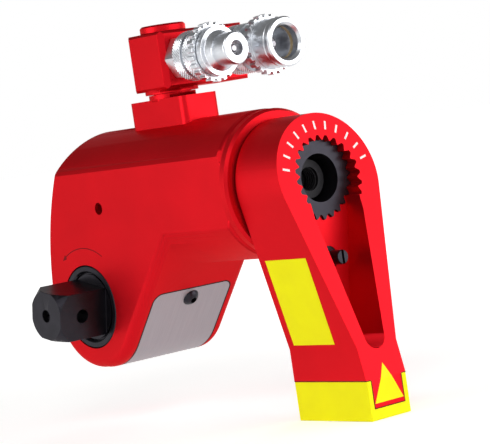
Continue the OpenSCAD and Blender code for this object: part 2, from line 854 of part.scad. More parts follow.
// Tube with a flange that fills the bottom of the post's bore
module tube_plug() {
    x0 = post_end - post_bore_depth;
    color(black) on_face() difference() {
        union() {
            shaft(tube_r, x0, post_end - tube_sink);
            shaft(post_bore_r - seat_gap, x0, x0 + tube_floor);
        }
        shaft(tube_hole_r, x0 + tube_floor, post_end);
    }
}

module swivel_base() {
    color(red) on_face() translate([swivel_x, 0, 0]) difference() {
        union() {
            translate([0, 0, seat_z]) linear_extrude(base_h)
                round_rect(base_l - 2 * seat_gap, base_w - 2 * seat_gap, base_corner);
            translate([0, 0, base_z - overrun]) cylinder(r = neck_r, h = neck_h + overrun);
        }
        translate([0, 0, pivot_root]) cylinder(r = pivot_thread_r + seat_gap, h = far);
    }
}

// Heights of the two seals on the swivel post
seal_heights = [block_z + block_h / 6, block_top - block_h / 6];
oring_room = 1.3 * oring_r;

module swivel_post() {
    color(red) on_face() translate([swivel_x, 0, 0]) difference() {
        union() {
            translate([0, 0, pivot_root]) cylinder(r = pivot_thread_r, h = head_z - pivot_root);
            translate([0, 0, neck_z]) cylinder(r = pivot_r, h = head_z - neck_z);
            translate([0, 0, head_z]) rotate_extrude()
                polygon([[0, 0], [pivot_head_r, 0], [pivot_head_r, pivot_head_h - head_chamfer],
                    [pivot_head_r - head_chamfer, pivot_head_h], [0, pivot_head_h]]);
        }
        for (z = seal_heights)
            rotate_extrude()
                band(pivot_r - 2 * oring_r, pivot_r + overrun, z - oring_room, z + oring_room);
    }
}

module swivel_seals() {
    color("darkgreen") on_face() translate([swivel_x, 0, 0])
        for (z = seal_heights)
            translate([0, 0, z]) rotate_extrude() translate([pivot_r - oring_r, 0]) circle(oring_r);
}

module piston() {
    seal_x = (piston_x0 + piston_x1 - seal_w) / 2;
    color("silver") on_face() difference() {
        shaft(bore_r - run_gap, piston_x0, piston_x1);
        turned_x() band(bore_r - seal_t, bore_r + overrun, seal_x, seal_x + seal_w);
        shaft(rod_r - spigot_step + seat_gap, piston_x0 - overrun, piston_x1 - spigot_floor);
    }
}

module piston_seal() {
    seal_x = (piston_x0 + piston_x1 - seal_w) / 2;
    color("darkgreen") on_face() turned_x()
        band(bore_r - seal_t + seat_gap, bore_r - run_gap, seal_x + seat_gap, seal_x + seal_w - seat_gap);
}

// Rod with a spigot in the piston and a round cross-drilled end
module piston_rod() {
    color("silver") on_face() difference() {
        union() {
            shaft(rod_r - spigot_step, piston_x0 - overrun, piston_x1 - spigot_floor - seat_gap);
            shaft(rod_r, rod_pin_x, piston_x0 - seat_gap);
            intersection() {
                translate([rod_pin_x, 0, axis_h]) disc(rod_r, -rod_r, rod_r);
                shaft(rod_r, rod_pin_x - rod_r, rod_pin_x + rod_r);
            }
        }
        translate([rod_pin_x, 0, axis_h]) disc(rod_pin_r + seat_gap, -rod_r - overrun, rod_r + overrun);
    }
}

module rod_pin() {
    color("silver") on_face() translate([rod_pin_x, 0, axis_h]) disc(rod_pin_r, -plate_out, plate_out);
}

// Cheek of the crank with a hub bore, a pin slot and dowel holes; side is -1 or 1
module crank_plate(side) {
    y0 = side < 0 ? -plate_out : plate_in;
    color(steel) on_face() at_crank() plate(y0, y0 + plate_t) difference() {
        tangent_link(crank_hub_r, crank_eye_r, eye_d);
        circle(hub_r + run_gap);
        for (z = [axis_h - side_gap, pin_far + side_gap])
            translate([0, z]) circle(slot_half);
        box2([-slot_half, axis_h - side_gap], [slot_half, pin_far + side_gap]);
        for (sx = [-1, 1])
            translate([sx * dowel_x, dowel_z]) circle(dowel_r + seat_gap);
    }
}

module crank_plate_front() {
    crank_plate(-1);
}

module crank_plate_rear() {
    crank_plate(1);
}

// Saddle between the crank plates that holds the pawl and its springs
module pawl_keeper() {
    color(steel) on_face() at_crank() plate(-plate_in + seat_gap, plate_in - seat_gap) difference() {
        box2([-keeper_out, ratchet_root], [keeper_out, keeper_top]);
        box2([-keeper_in, 0], [keeper_in, keeper_roof]);
        circle(ratchet_tip + 2 * side_gap);
        for (sx = [-1, 1])
            translate([sx * dowel_x, dowel_z]) circle(dowel_r + seat_gap);
    }
}

module keeper_dowels() {
    color("silver") on_face() at_crank()
        for (sx = [-1, 1])
            translate([sx * dowel_x, 0, dowel_z]) disc(dowel_r, -plate_out, plate_out);
}

// Coil springs are drawn as plain sleeves of the coil's size, bored to a share of its radius
coil_share = 0.7;

module spring_sleeve(r, h) {
    difference() {
        cylinder(r = r, h = h);
        translate([0, 0, -overrun]) cylinder(r = r * coil_share, h = h + 2 * overrun);
    }
}

module pawl_springs() {
    color("silver") on_face() at_crank()
        for (sx = [-1, 1])
            translate([sx * spring_x, 0, pawl_top + seat_gap])
                spring_sleeve(pawl_spring_r, keeper_roof - pawl_top - 2 * seat_gap);
}

module drive_pawl() {
    color("dimgray") on_face() at_crank() plate(-ratchet_half, ratchet_half) difference() {
        box2([-pawl_half, 0], [pawl_half, pawl_top]);
        circle(ratchet_root + 2 * tooth_gap);
        toothed(ratchet_teeth, ratchet_root, tooth_h, ratchet_tooth, tooth_gap);
    }
}

module ratchet() {
    color("dimgray") on_face() difference() {
        union() {
            at_crank() plate(-ratchet_half, ratchet_half)
                toothed(ratchet_teeth, ratchet_root, tooth_h, ratchet_tooth);
            disc(hub_r, -hub_end, hub_end);
        }
        plate(-half_w, half_w) toothed(shank_teeth, shank_root, shank_h, spline_tooth, run_gap);
    }
}

module square_drive() {
    tip_y = -half_w - square_len;
    collar_y = -hub_end - collar_t;
    cone_r = square_size;
    cone_l = (cone_r - square_tip_r) / tan(square_tip_slope);
    color(black) on_face() rotate([0, square_turn, 0]) difference() {
        union() {
            intersection() {
                plate(tip_y, collar_y) square(square_size, center = true);
                turned_y() polygon([[0, tip_y], [square_tip_r, tip_y], [cone_r, tip_y + cone_l],
                    [cone_r, 0], [0, 0]]);
            }
            disc(hub_r - collar_step, collar_y, -hub_end - seat_gap);
            rotate([0, -square_turn, 0]) plate(-hub_end - seat_gap, hub_end)
                toothed(shank_teeth, shank_root, shank_h, spline_tooth);
            disc(stub_r, 0, stub_end);
        }
        disc(end_hole_r, tip_y - overrun, tip_y + end_hole_depth);
        translate([0, tip_y + cross_hole_back, 0]) rotate([0, 90, 0])
            cylinder(r = cross_hole_r, h = 2 * square_size, center = true);
    }
}

// Slotted plug in the end hole of the square
module tip_plug() {
    y0 = -half_w - square_len + plug_depth;
    color(black) on_face() difference() {
        disc(end_hole_r - seat_gap, y0, y0 + plug_len);
        translate([-end_hole_r, y0 - overrun, -slot_w / 2])
            cube([2 * end_hole_r, overrun + slot_depth, slot_w]);
    }
}

module drive_retainer() {
    low = hub_end - overrun;
    high = knob_top + overrun;
    inner = [[0, low], [stub_r + seat_gap, low], [stub_r + seat_gap, stub_end],
        [button_bore_r + run_gap, stub_end], [button_bore_r + run_gap, lip_y],
        [button_r + run_gap, lip_y], [button_r + run_gap, high], [0, high]];
    color(black) on_face() turned_y() difference() {
        union() {
            band(0, hub_r - collar_step, hub_end + seat_gap, knob_y);
            polygon([[0, knob_y], [knob_r, knob_y], [knob_r, knob_top - knob_chamfer],
                [knob_r - knob_chamfer, knob_top], [0, knob_top]]);
        }
        polygon(inner);
    }
}

module retainer_button() {
    color(steel) on_face() {
        disc(button_bore_r, button_flange_y, button_flange_y + button_flange);
        disc(button_r, button_flange_y, knob_top + button_out);
    }
}

module button_spring() {
    color("silver") on_face() translate([0, stub_end + seat_gap, 0]) rotate([-90, 0, 0])
        spring_sleeve(button_r, button_flange_y - stub_end - 2 * seat_gap);
}

// Ring of the arm and the leg that hangs from it, seen from the front
module arm_body() {
    shaft(ring_r, arm_back, foot_front);
    slice(arm_back, foot_front)
        polygon([[ring_side, ring_side_z], [foot_half, kink_z], [foot_half, -foot_bottom],
            [-foot_half, -foot_bottom], [-foot_half, kink_z], [-ring_side, ring_side_z]]);
}

// Side outline of the arm down to the foot, with the slanted front
module arm_side() {
    top = axis_h + ring_r + overrun;
    polygon([[arm_back, -guard_top], [foot_front, -guard_top],
        [arm_front - arm_slope * (top - axis_h), top], [arm_back, top]]);
}

// Core of the foot that the guard wraps, with the pad that fills the guard's window
module foot_core() {
    translate([arm_back + guard_t, guard_t - foot_half, guard_t - foot_bottom])
        cube([foot_front - arm_back - 2 * guard_t, 2 * (foot_half - guard_t), foot_bottom - guard_top]);
    translate([foot_front - 2 * guard_t, -window_w / 2, window_sill - foot_bottom])
        cube([2 * guard_t, window_w, foot_bottom - guard_top - window_sill]);
}

// Teardrop pocket, from the spline hole down to its round end
module pocket() {
    shaft(pocket_end_r, pocket_floor, foot_front + overrun, -pocket_end);
    slice(pocket_floor, foot_front + overrun)
        polygon([[pocket_half, axis_h - post_root / 2], [pocket_half, axis_h - post_root],
            [pocket_end_r, -pocket_end], [-pocket_end_r, -pocket_end],
            [-pocket_half, axis_h - post_root], [-pocket_half, axis_h - post_root / 2]]);
}

module guard_shell() {
    difference() {
        translate([arm_back, -foot_half, -foot_bottom])
            cube([foot_front - arm_back, 2 * foot_half, foot_bottom - guard_top]);
        translate([arm_back + guard_t, guard_t - foot_half, guard_t - foot_bottom])
            cube([foot_front - arm_back - 2 * guard_t, 2 * (foot_half - guard_t), foot_bottom]);
        translate([foot_front - 2 * guard_t, -window_w / 2, window_sill - foot_bottom])
            cube([3 * guard_t, window_w, foot_bottom]);
    }
}

module reaction_arm() {
    color(red) on_face() difference() {
        union() {
            intersection() {
                arm_body();
                plate(-ring_r - overrun, ring_r + overrun) arm_side();
            }
            foot_core();
        }
        translate([0, 0, axis_h]) slice(arm_back - overrun, foot_front)
            toothed(post_teeth, post_root, post_h, spline_tooth, tooth_gap);
        pocket();
        shaft(lock_bore_r, arm_back - overrun, pocket_floor + overrun, lock_z);
        translate([dog_x, 0, lock_z]) cylinder(r = dog_r + run_gap, h = axis_h - lock_z);
    }
}

module foot_guard() {
    color(yellow) on_face() guard_shell();
}

module lock_pin() {
    head_x = pocket_floor + lock_reach;
    shoulder_x = pocket_floor - shoulder_sink;
    tail_x = arm_back + lock_push + side_gap;
    color(black) on_face() translate([0, 0, lock_z]) difference() {
        rotate([0, 90, 0]) rotate_extrude()
            polygon([[0, tail_x], [lock_waist_r, tail_x], [lock_waist_r, ramp_x0], [lock_body_r, ramp_x1],
                [lock_body_r, shoulder_x], [lock_head_r, shoulder_x], [lock_head_r, head_x - lock_chamfer],
                [lock_head_r - lock_chamfer, head_x], [0, head_x]]);
        translate([head_x - slot_depth, -slot_w / 2, -lock_head_r])
            cube([slot_depth + overrun, slot_w, 2 * lock_head_r]);
    }
}

module lock_dog() {
    color("silver") on_face() translate([dog_x, 0, 0]) {
        translate([0, 0, dog_base]) sphere(dog_r);
        translate([0, 0, dog_base]) cylinder(r = dog_r, h = dog_top - dog_base);
    }
}

// Rectangle with chamfered corners between two corner points
module chamfered(low, high, c) {
    polygon([[low[0] + c, low[1]], [high[0] - c, low[1]], [high[0], low[1] + c], [high[0], high[1] - c],
        [high[0] - c, high[1]], [low[0] + c, high[1]], [low[0], high[1] - c], [low[0], low[1] + c]]);
}

module swivel_block() {
    half = block_l / 2;
    color(red) on_face() difference() {
        union() {
            intersection() {
                plate(-block_near, block_far)
                    chamfered([swivel_x - half, block_z], [swivel_x + half, block_top], block_chamfer);
                slice(swivel_x - half, swivel_x + half)
                    chamfered([-block_near, block_z], [block_far, block_top], block_chamfer);
                translate([0, 0, block_z]) linear_extrude(block_h)
                    chamfered([swivel_x - half, -block_near], [swivel_x + half, block_far], block_edge);
            }
            translate([swivel_x, 0, pad_z]) cylinder(r = pad_r, h = pad_h + block_chamfer);
        }
        translate([swivel_x, 0, 0]) cylinder(r = pivot_r + run_gap, h = far);
        for (y = [-male_y, female_y])
            on_port(y) translate([0, 0, -thread_l - overrun])
                cylinder(r = thread_r + seat_gap, h = thread_l + 2 * overrun);
        on_port(female_y) translate([0, 0, -half]) cylinder(r = oil_r, h = half);
    }
}

// Hex with chamfered corners between two stations
module hex_nut(s0, s1) {
    corner = hex_w / 2;
    c = hex_cut * tan(30);
    intersection() {
        translate([0, 0, s0]) rotate(30) cylinder(r = corner, h = s1 - s0, $fn = 6);
        rotate_extrude()
            polygon([[0, s0], [corner - hex_cut, s0], [corner, s0 + c], [corner, s1 - c],
                [corner - hex_cut, s1], [0, s1]]);
    }
}

module adaptor(y) {
    color(zinc) on_face() on_port(y) difference() {
        union() {
            translate([0, 0, seat_gap - thread_l]) cylinder(r = thread_r, h = thread_l + stub_s);
            hex_nut(seat_gap, hex_t - seat_gap);
        }
        translate([0, 0, -far / 2]) cylinder(r = oil_r, h = far);
    }
}

module male_adaptor() {
    adaptor(-male_y);
}

module female_adaptor() {
    adaptor(female_y);
}

module male_coupler() {
    color(zinc) on_face() on_port(-male_y) rotate_extrude() difference() {
        union() {
            band(0, grip_r, hex_t, hex_t + grip_l);
            band(0, grip_groove_r, hex_t, journal_s);
            band(0, grip_r, grip2_s, journal_s);
            band(0, journal_r, hex_t, cone_s);
            band(0, flange_r, flange_s, cone_s);
            polygon([[0, cone_s], [cone_r, cone_s], [nipple_r, nipple_s], [nipple_r, male_s - rim_chamfer],
                [nipple_r - rim_chamfer, male_s], [0, male_s]]);
        }
        band(0, thread_r + seat_gap, hex_t - overrun, stub_s + 2 * seat_gap);
        band(0, chamber_r, stub_s + 2 * seat_gap, male_seat_s);
        band(0, nipple_hole_r, male_seat_s - overrun, male_s + overrun);
    }
}

// Ring with square notches round its rim
module notched_ring(s0, r, bore) {
    translate([0, 0, s0]) linear_extrude(ring_l) difference() {
        toothed(notches, r - notch_h, notch_h, notch_tooth);
        circle(bore);
    }
}

module male_ring() {
    color(zinc) on_face() on_port(-male_y)
        notched_ring(journal_s + side_gap, notch_r, journal_r + run_gap);
}

// Profile of a poppet's tip that ends at a given station
module poppet_tip(s) {
    polygon([[0, s - poppet_tip_l - overrun], [poppet_tip_r, s - poppet_tip_l - overrun],
        [poppet_tip_r, s - poppet_chamfer], [poppet_tip_r - poppet_chamfer, s], [0, s]]);
}

module male_poppet() {
    seat = male_seat_s - side_gap;
    nose_s = male_s - poppet_sink;
    color(steel) on_face() on_port(-male_y) rotate_extrude() {
        band(0, poppet_flange_r, seat - poppet_flange_t, seat);
        band(0, nipple_hole_r - run_gap, seat - overrun, nose_s - poppet_tip_l);
        poppet_tip(nose_s);
    }
}

module male_spring() {
    low = stub_s + 3 * seat_gap;
    high = male_seat_s - side_gap - poppet_flange_t - seat_gap;
    color("silver") on_face() on_port(-male_y) translate([0, 0, low])
        spring_sleeve(poppet_flange_r, high - low);
}

module female_coupler() {
    groove_s = female_s - seal_ring_sink - seal_ring_l;
    color(zinc) on_face() on_port(female_y) rotate_extrude() difference() {
        union() {
            band(0, grip_r, hex_t, hex_t + grip_l);
            band(0, grip_groove_r, hex_t, journal_s);
            band(0, grip_r, grip2_s, journal_s);
            band(0, journal_r, hex_t, female_s);
            polygon([[0, lip_s], [sleeve_r, lip_s], [sleeve_r, female_s - rim_chamfer],
                [sleeve_r - rim_chamfer, female_s], [0, female_s]]);
        }
        band(0, thread_r + seat_gap, hex_t - overrun, stub_s + 2 * seat_gap);
        band(0, chamber_r, stub_s + 2 * seat_gap, web_s);
        band(0, female_poppet_r + run_gap, web_s - overrun, socket_s + overrun);
        band(0, socket_r, socket_s, female_s + overrun);
        band(0, socket_r + seal_ring_t, groove_s, groove_s + seal_ring_l);
        polygon([[0, female_s - mouth_chamfer], [socket_r, female_s - mouth_chamfer],
            [socket_r + mouth_chamfer, female_s], [0, female_s]]);
    }
}

module female_seal() {
    groove_s = female_s - seal_ring_sink - seal_ring_l;
    color("goldenrod") on_face() on_port(female_y) rotate_extrude()
        band(socket_r, socket_r + seal_ring_t - seat_gap,
            groove_s + seat_gap, groove_s + seal_ring_l - seat_gap);
}

module female_sleeve() {
    front_s = lip_s - side_gap;
    color(zinc) on_face() on_port(female_y) {
        notched_ring(sleeve_s, collar_r, journal_r + run_gap);
        rotate_extrude()
            polygon([[journal_r + run_gap, sleeve_s + ring_l / 2], [sleeve_r, sleeve_s + ring_l / 2],
                [sleeve_r, front_s - sleeve_chamfer], [sleeve_r - sleeve_chamfer, front_s],
                [journal_r + run_gap, front_s]]);
    }
}

module female_poppet() {
    nose_s = female_s - seal_ring_sink - seal_ring_l - nose_sink;
    seat = web_s - side_gap;
    body_s = nose_s - poppet_tip_l;
    color(steel) on_face() on_port(female_y) rotate_extrude() {
        band(0, poppet_flange_r, seat - poppet_flange_t, seat);
        polygon([[0, seat - overrun], [female_poppet_r, seat - overrun],
            [female_poppet_r, body_s - nose_chamfer], [female_poppet_r - nose_chamfer, body_s],
            [0, body_s]]);
        poppet_tip(nose_s);
    }
}

module female_spring() {
    low = stub_s + 3 * seat_gap;
    high = web_s - side_gap - poppet_flange_t - seat_gap;
    color("silver") on_face() on_port(female_y) translate([0, 0, low])
        spring_sleeve(poppet_flange_r, high - low);
}

housing();
drive_bush_front();
drive_bush_rear();
shroud();
shroud_screws();
gland();
rod_seal();
end_cap();
end_cap_seal();
tube_plug();
swivel_base();
swivel_post();
swivel_seals();
piston();
piston_seal();
piston_rod();
rod_pin();
crank_plate_front();
crank_plate_rear();
pawl_keeper();
keeper_dowels();
pawl_springs();
drive_pawl();
ratchet();
square_drive();
tip_plug();
drive_retainer();
retainer_button();
button_spring();
reaction_arm();
foot_guard();
lock_pin();
lock_dog();
swivel_block();
male_adaptor();
female_adaptor();
male_coupler();
female_coupler();
female_seal();
male_ring();
female_sleeve();
male_poppet();
female_poppet();
male_spring();
female_spring();
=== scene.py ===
"""Finishes, fine detail and a plain studio for a square drive hydraulic torque wrench."""

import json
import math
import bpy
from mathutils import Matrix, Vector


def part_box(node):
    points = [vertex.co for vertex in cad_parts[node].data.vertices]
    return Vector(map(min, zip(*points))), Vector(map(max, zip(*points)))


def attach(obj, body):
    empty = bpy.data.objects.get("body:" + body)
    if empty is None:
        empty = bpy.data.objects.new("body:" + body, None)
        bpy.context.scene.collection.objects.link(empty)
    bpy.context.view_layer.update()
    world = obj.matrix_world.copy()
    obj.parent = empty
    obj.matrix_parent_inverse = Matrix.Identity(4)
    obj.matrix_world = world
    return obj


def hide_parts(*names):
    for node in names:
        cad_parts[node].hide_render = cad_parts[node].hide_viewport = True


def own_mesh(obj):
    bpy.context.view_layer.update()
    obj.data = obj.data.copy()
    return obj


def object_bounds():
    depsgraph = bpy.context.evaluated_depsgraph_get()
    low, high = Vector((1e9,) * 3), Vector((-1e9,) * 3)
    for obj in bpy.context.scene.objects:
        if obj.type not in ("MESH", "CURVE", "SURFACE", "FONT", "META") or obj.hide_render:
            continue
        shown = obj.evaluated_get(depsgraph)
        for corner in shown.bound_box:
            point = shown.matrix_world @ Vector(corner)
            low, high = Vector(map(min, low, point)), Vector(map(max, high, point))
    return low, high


bl_info = {
    "name": "Hydraulic torque wrench",
    "version": (1, 0, 0),
    "blender": (4, 5, 0),
    "location": "View3D > Sidebar > Wrench",
    "description": "Dresses the solids of a hydraulic torque wrench and sets up a plain studio",
    "category": "Object",
}

import bmesh
import bpy
from mathutils import Matrix, Vector
from mathutils.bvhtree import BVHTree

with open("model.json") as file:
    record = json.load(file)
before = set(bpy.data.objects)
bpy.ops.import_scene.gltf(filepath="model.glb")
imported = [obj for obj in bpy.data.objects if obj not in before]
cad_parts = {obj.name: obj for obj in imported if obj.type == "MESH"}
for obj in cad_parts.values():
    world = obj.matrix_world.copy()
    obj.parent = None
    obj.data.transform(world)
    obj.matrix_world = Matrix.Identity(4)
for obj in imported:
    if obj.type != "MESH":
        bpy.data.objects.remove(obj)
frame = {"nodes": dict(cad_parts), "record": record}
CAD_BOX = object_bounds()
NODES = frame["nodes"]
BODY_OF = {
    node: body
    for body, members in frame["record"]["behaviour"]["bodies"].items()
    for node in members
}
SLOT_OF = {part["node"]: part["material_slot"] for part in frame["record"]["subparts"]}
MM = 0.001
# Inner radius over outer radius of the springs
COIL_SHARE = 0.7
# Window in the front of the foot guard and its height over the guard's underside, in millimetres
WINDOW_W, WINDOW_SILL = 20.4, 5.6
# Run over drop of the arm's slanted front
ARM_SLOPE = 0.2
# Edges that turn by more than the first angle are rounded, by more than the second shaded as sharp
ROUNDED_FROM, SHARP_FROM = math.radians(32), math.radians(30)
# Corners closer than this are joined, and faces that turn by less than this are merged
WELD, FLAT_UP_TO = 0.002 * MM, math.radians(0.4)
# Height of films and painted shadow strips over the surface that they lie on
FILM = 0.03 * MM
# How bright the white background and the floor are in mirrors and glass
WALL_MIRRORED = 0.74
FLOOR_MIRRORED = 0.55


def linear(code):
    """Linear red, green and blue of an sRGB hex colour."""
    parts = [int(code[i : i + 2], 16) / 255 for i in (1, 3, 5)]
    return tuple(c / 12.92 if c <= 0.04045 else ((c + 0.055) / 1.055) ** 2.4 for c in parts)


def per_mm(size):
    """Texture scale whose features are about this many millimetres wide."""
    return 1 / (size * MM)


class WrenchColours(bpy.types.PropertyGroup):
    """Colours of the wrench's finishes."""

    red: bpy.props.FloatVectorProperty(
        name="Red anodising",
        description="Colour of the anodised alloy",
        subtype="COLOR",
        min=0,
        max=1,
        default=linear("#CC101C"),
    )
    black: bpy.props.FloatVectorProperty(
        name="Black oxide",
        description="Colour of the blackened steel",
        subtype="COLOR",
        min=0,
        max=1,
        default=linear("#2E2C33"),
    )
    sheet: bpy.props.FloatVectorProperty(
        name="Stainless sheet",
        description="Colour of the brushed shroud",
        subtype="COLOR",
        min=0,
        max=1,
        default=linear("#A39CA1"),
    )
    zinc: bpy.props.FloatVectorProperty(
        name="Bright zinc",
        description="Colour of the plated couplers",
        subtype="COLOR",
        min=0,
        max=1,
        default=linear("#DADDE2"),
    )
    yellow: bpy.props.FloatVectorProperty(
        name="Safety yellow",
        description="Colour of the foot guard and the plates",
        subtype="COLOR",
        min=0,
        max=1,
        default=linear("#FFF700"),
    )


class WrenchSizes(bpy.types.PropertyGroup):
    """Sizes of the fine detail."""

    edge: bpy.props.FloatProperty(
        name="Edge rounding",
        description="Rounding of the machined edges",
        subtype="DISTANCE",
        default=0.6 * MM,
        min=0.1 * MM,
        max=2 * MM,
    )
    knurl_pitch: bpy.props.FloatProperty(
        name="Knurl pitch",
        description="Distance between the points of the coupler knurls",
        subtype="DISTANCE",
        default=1.5 * MM,
        min=0.8 * MM,
        max=3 * MM,
    )
    knurl_height: bpy.props.FloatProperty(
        name="Knurl height",
        description="Height of the points of the coupler knurls",
        subtype="DISTANCE",
        default=0.4 * MM,
        min=0.1 * MM,
        max=1 * MM,
    )
    ribs: bpy.props.IntProperty(
        name="Knob ribs",
        description="Grip ribs round the retainer knob",
        default=36,
        min=12,
        max=72,
    )
    marks: bpy.props.IntProperty(
        name="Index marks",
        description="White index marks on the ring of the reaction arm",
        default=11,
        min=3,
        max=24,
    )


def add(tree, kind, inputs=None, **settings):
    """Adds a node; an input's value is a socket to link from or a constant to set."""
    node = tree.nodes.new(kind)
    for name, value in settings.items():
        setattr(node, name, value)
    for key, value in (inputs or {}).items():
        if isinstance(value, bpy.types.NodeSocket):
            tree.links.new(value, node.inputs[key])
        else:
            node.inputs[key].default_value = value
    return node


def calc(tree, operation, *values):
    """Result of a math node whose values are sockets or constants."""
    return add(tree, "ShaderNodeMath", dict(enumerate(values)), operation=operation).outputs[0]


def shade(colour, factor):
    """Colour made darker or lighter by a factor, with an alpha of one."""
    return tuple(min(1, c * factor) for c in colour) + (1,)


def noise(tree, place, sizes, detail):
    """Noise whose features have these sizes along X, Y and Z, in millimetres."""
    scale = [per_mm(size) for size in sizes]
    spread = add(tree, "ShaderNodeMapping", {"Vector": place, "Scale": scale})
    inputs = {"Vector": spread.outputs[0], "Scale": 1.0, "Detail": detail}
    return add(tree, "ShaderNodeTexNoise", inputs).outputs["Fac"]


def finish(name, tones, patch, gloss, grain, depth, **constants):
    """Material that drifts between two tones and roughnesses in patches, with a fine raised grain.

    Patch and grain are the sizes of their features along X, Y and Z, and depth is the grain's
    height, all in millimetres. The constants are set straight on the shader.
    """
    material = bpy.data.materials.new(name)
    material.use_nodes = True
    tree = material.node_tree
    shader = tree.nodes["Principled BSDF"]
    for key, value in constants.items():
        shader.inputs[key.replace("_", " ")].default_value = value
    place = add(tree, "ShaderNodeTexCoord").outputs["Object"]
    drift = noise(tree, place, patch, 4.0)
    tone = add(tree, "ShaderNodeMix", {0: drift, 6: tones[0], 7: tones[1]}, data_type="RGBA")
    rough = add(
        tree, "ShaderNodeMapRange", {"Value": drift, "To Min": gloss[0], "To Max": gloss[1]}
    )
    speck = noise(tree, place, grain, 2.0)
    bump = add(tree, "ShaderNodeBump", {"Height": speck, "Strength": 0.2, "Distance": depth * MM})
    tree.links.new(tone.outputs[2], shader.inputs["Base Color"])
    tree.links.new(rough.outputs["Result"], shader.inputs["Roughness"])
    tree.links.new(bump.outputs["Normal"], shader.inputs["Normal"])
    return material


def red_alloy(colours):
    # Satin red anodising on alloy: the dye keeps highlights red, and a blasted grain softens them
    tones = shade(colours.red, 0.88), shade(colours.red, 1.1)
    return finish(
        "red_anodised_alloy",
        tones,
        (30, 30, 30),
        (0.38, 0.48),
        (0.8, 0.8, 0.8),
        0.04,
        Metallic=0.75,
        Specular_Tint=(1, 0.26, 0.28, 1),
    )


def black_oxide(colours):
    # Hot black oxide on steel: dark and slightly violet, with cloudy patches under an oil film
    tones = shade(colours.black, 0.55), shade(colours.black, 1.25)
    return finish(
        "black_oxide_steel", tones, (7, 7, 7), (0.28, 0.42), (0.6, 0.6, 0.6), 0.03, Metallic=0.85
    )


def brushed_sheet(colours):
    # Brushed stainless sheet: scratches along the wrap, drawn 0.5 mm wide to show, spread the light
    tones = shade(colours.sheet, 0.8), shade(colours.sheet, 1.1)
    scratch = (20, 0.5, 20)
    return finish(
        "brushed_stainless_sheet", tones, scratch, (0.36, 0.5), scratch, 0.02, Metallic=1.0
    )


def bright_zinc(colours):
    # Bright zinc plate on turned steel: near mirror with dull specks and lathe rings 0.5 mm apart
    tones = shade(colours.zinc, 0.86), shade(colours.zinc, 1.06)
    return finish(
        "bright_zinc_plate", tones, (3, 3, 3), (0.25, 0.36), (0.5, 60, 60), 0.008, Metallic=1.0
    )


def safety_yellow(colours):
    # Moulded polyurethane: full yellow with a soft gloss and an eroded grain, drawn 0.5 mm wide
    tones = shade(colours.yellow, 0.9), shade(colours.yellow, 1.04)
    return finish(
        "safety_yellow_moulding",
        tones,
        (12, 12, 12),
        (0.42, 0.56),
        (0.5, 0.5, 0.5),
        0.03,
        Metallic=0.0,
        Specular_IOR_Level=0.15,
    )


def ground_steel(colours):
    # Ground tool steel of the inner pieces: neutral grey with a fine cross grain
    tones = shade(linear("#8A878C"), 1.0), shade(linear("#B4B2B6"), 1.0)
    return finish(
        "ground_tool_steel", tones, (8, 0.4, 8), (0.28, 0.42), (8, 0.4, 8), 0.02, Metallic=1.0
    )


def bearing_bronze(colours):
    # Turned bearing bronze: warm and lightly mottled, with a soft gloss
    tones = shade(linear("#A87A34"), 1.0), shade(linear("#D2A658"), 1.0)
    return finish(
        "bearing_bronze", tones, (2.5, 2.5, 2.5), (0.25, 0.4), (0.5, 30, 30), 0.02, Metallic=1.0
    )


def seal_rubber(colours):
    # Moulded nitrile: near black with a green cast and a matt bloom
    tones = shade(linear("#161B18"), 1.0), shade(linear("#2E3631"), 1.0)
    return finish(
        "nitrile_seal", tones, (1.5, 1.5, 1.5), (0.55, 0.75), (0.4, 0.4, 0.4), 0.03, Metallic=0.0
    )


def dull_black(colours):
    # Phosphated steel inside the post: a matt charcoal that swallows the light
    tones = shade(linear("#131214"), 1.0), shade(linear("#2A282C"), 1.0)
    return finish(
        "phosphated_steel", tones, (3, 3, 3), (0.5, 0.65), (0.5, 0.5, 0.5), 0.03, Metallic=0.6
    )


def painted_gap_shade(colours):
    # Painted shadow for narrow gaps along rims and joints: a dark red strip with a soft, matt skin
    tones = shade(linear("#1E0305"), 1.0), shade(linear("#400609"), 1.0)
    return finish(
        "painted_shadow_line", tones, (2, 2, 2), (0.6, 0.75), (0.6, 0.6, 0.6), 0.02, Specular_IOR_Level=0.2
    )


def seal_ring(colours):
    # Moulded PTFE back-up ring: waxy, warm beige and nearly matt
    tones = shade(linear("#A8926A"), 1.0), shade(linear("#C4B18C"), 1.0)
    return finish(
        "ptfe_ring", tones, (2, 2, 2), (0.4, 0.55), (0.4, 0.4, 0.4), 0.01, Metallic=0.0, IOR=1.38
    )


def mark_ink(name, code, **constants):
    # Ink on the anodising: a flat film that is slightly uneven
    tones = shade(linear(code), 0.86), shade(linear(code), 1.0)
    return finish(
        name, tones, (1.2, 1.2, 1.2), (0.5, 0.65), (0.5, 0.5, 0.5), 0.01, Metallic=0.0, **constants
    )


FINISHES = {
    "red_paint": red_alloy,
    "black_oxide": black_oxide,
    "brushed_sheet": brushed_sheet,
    "bright_zinc": bright_zinc,
    "yellow_plastic": safety_yellow,
    "plain_steel": ground_steel,
    "bronze": bearing_bronze,
    "seal_rubber": seal_rubber,
    "seal_ring": seal_ring,
    "dull_black": dull_black,
    "painted_gap_shade": painted_gap_shade,
}
# Nodes whose finish differs from the rest of their slot
OWN_FINISH = {"female_seal": "seal_ring", "tube_plug": "dull_black"}
# Materials and node trees that are there already
made = {}


def finish_of(name):
    """Material of a CAD node: its own, or its slot's."""
    return finish_for(OWN_FINISH.get(name, SLOT_OF[name]))


def finish_for(slot):
    """Material of a slot, made the first time that it is asked for."""
    if slot not in made:
        made[slot] = FINISHES[slot](bpy.context.scene.wrench_colours)
    return made[slot]


def paint(*names):
    """Gives CAD nodes the finish of their slot, or their own."""
    for name in names:
        mesh = NODES[name].data
        mesh.materials.clear()
        mesh.materials.append(finish_of(name))


def keep(piece, body):
    """Rides a finished piece on a body."""
    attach(piece, body)
    return piece


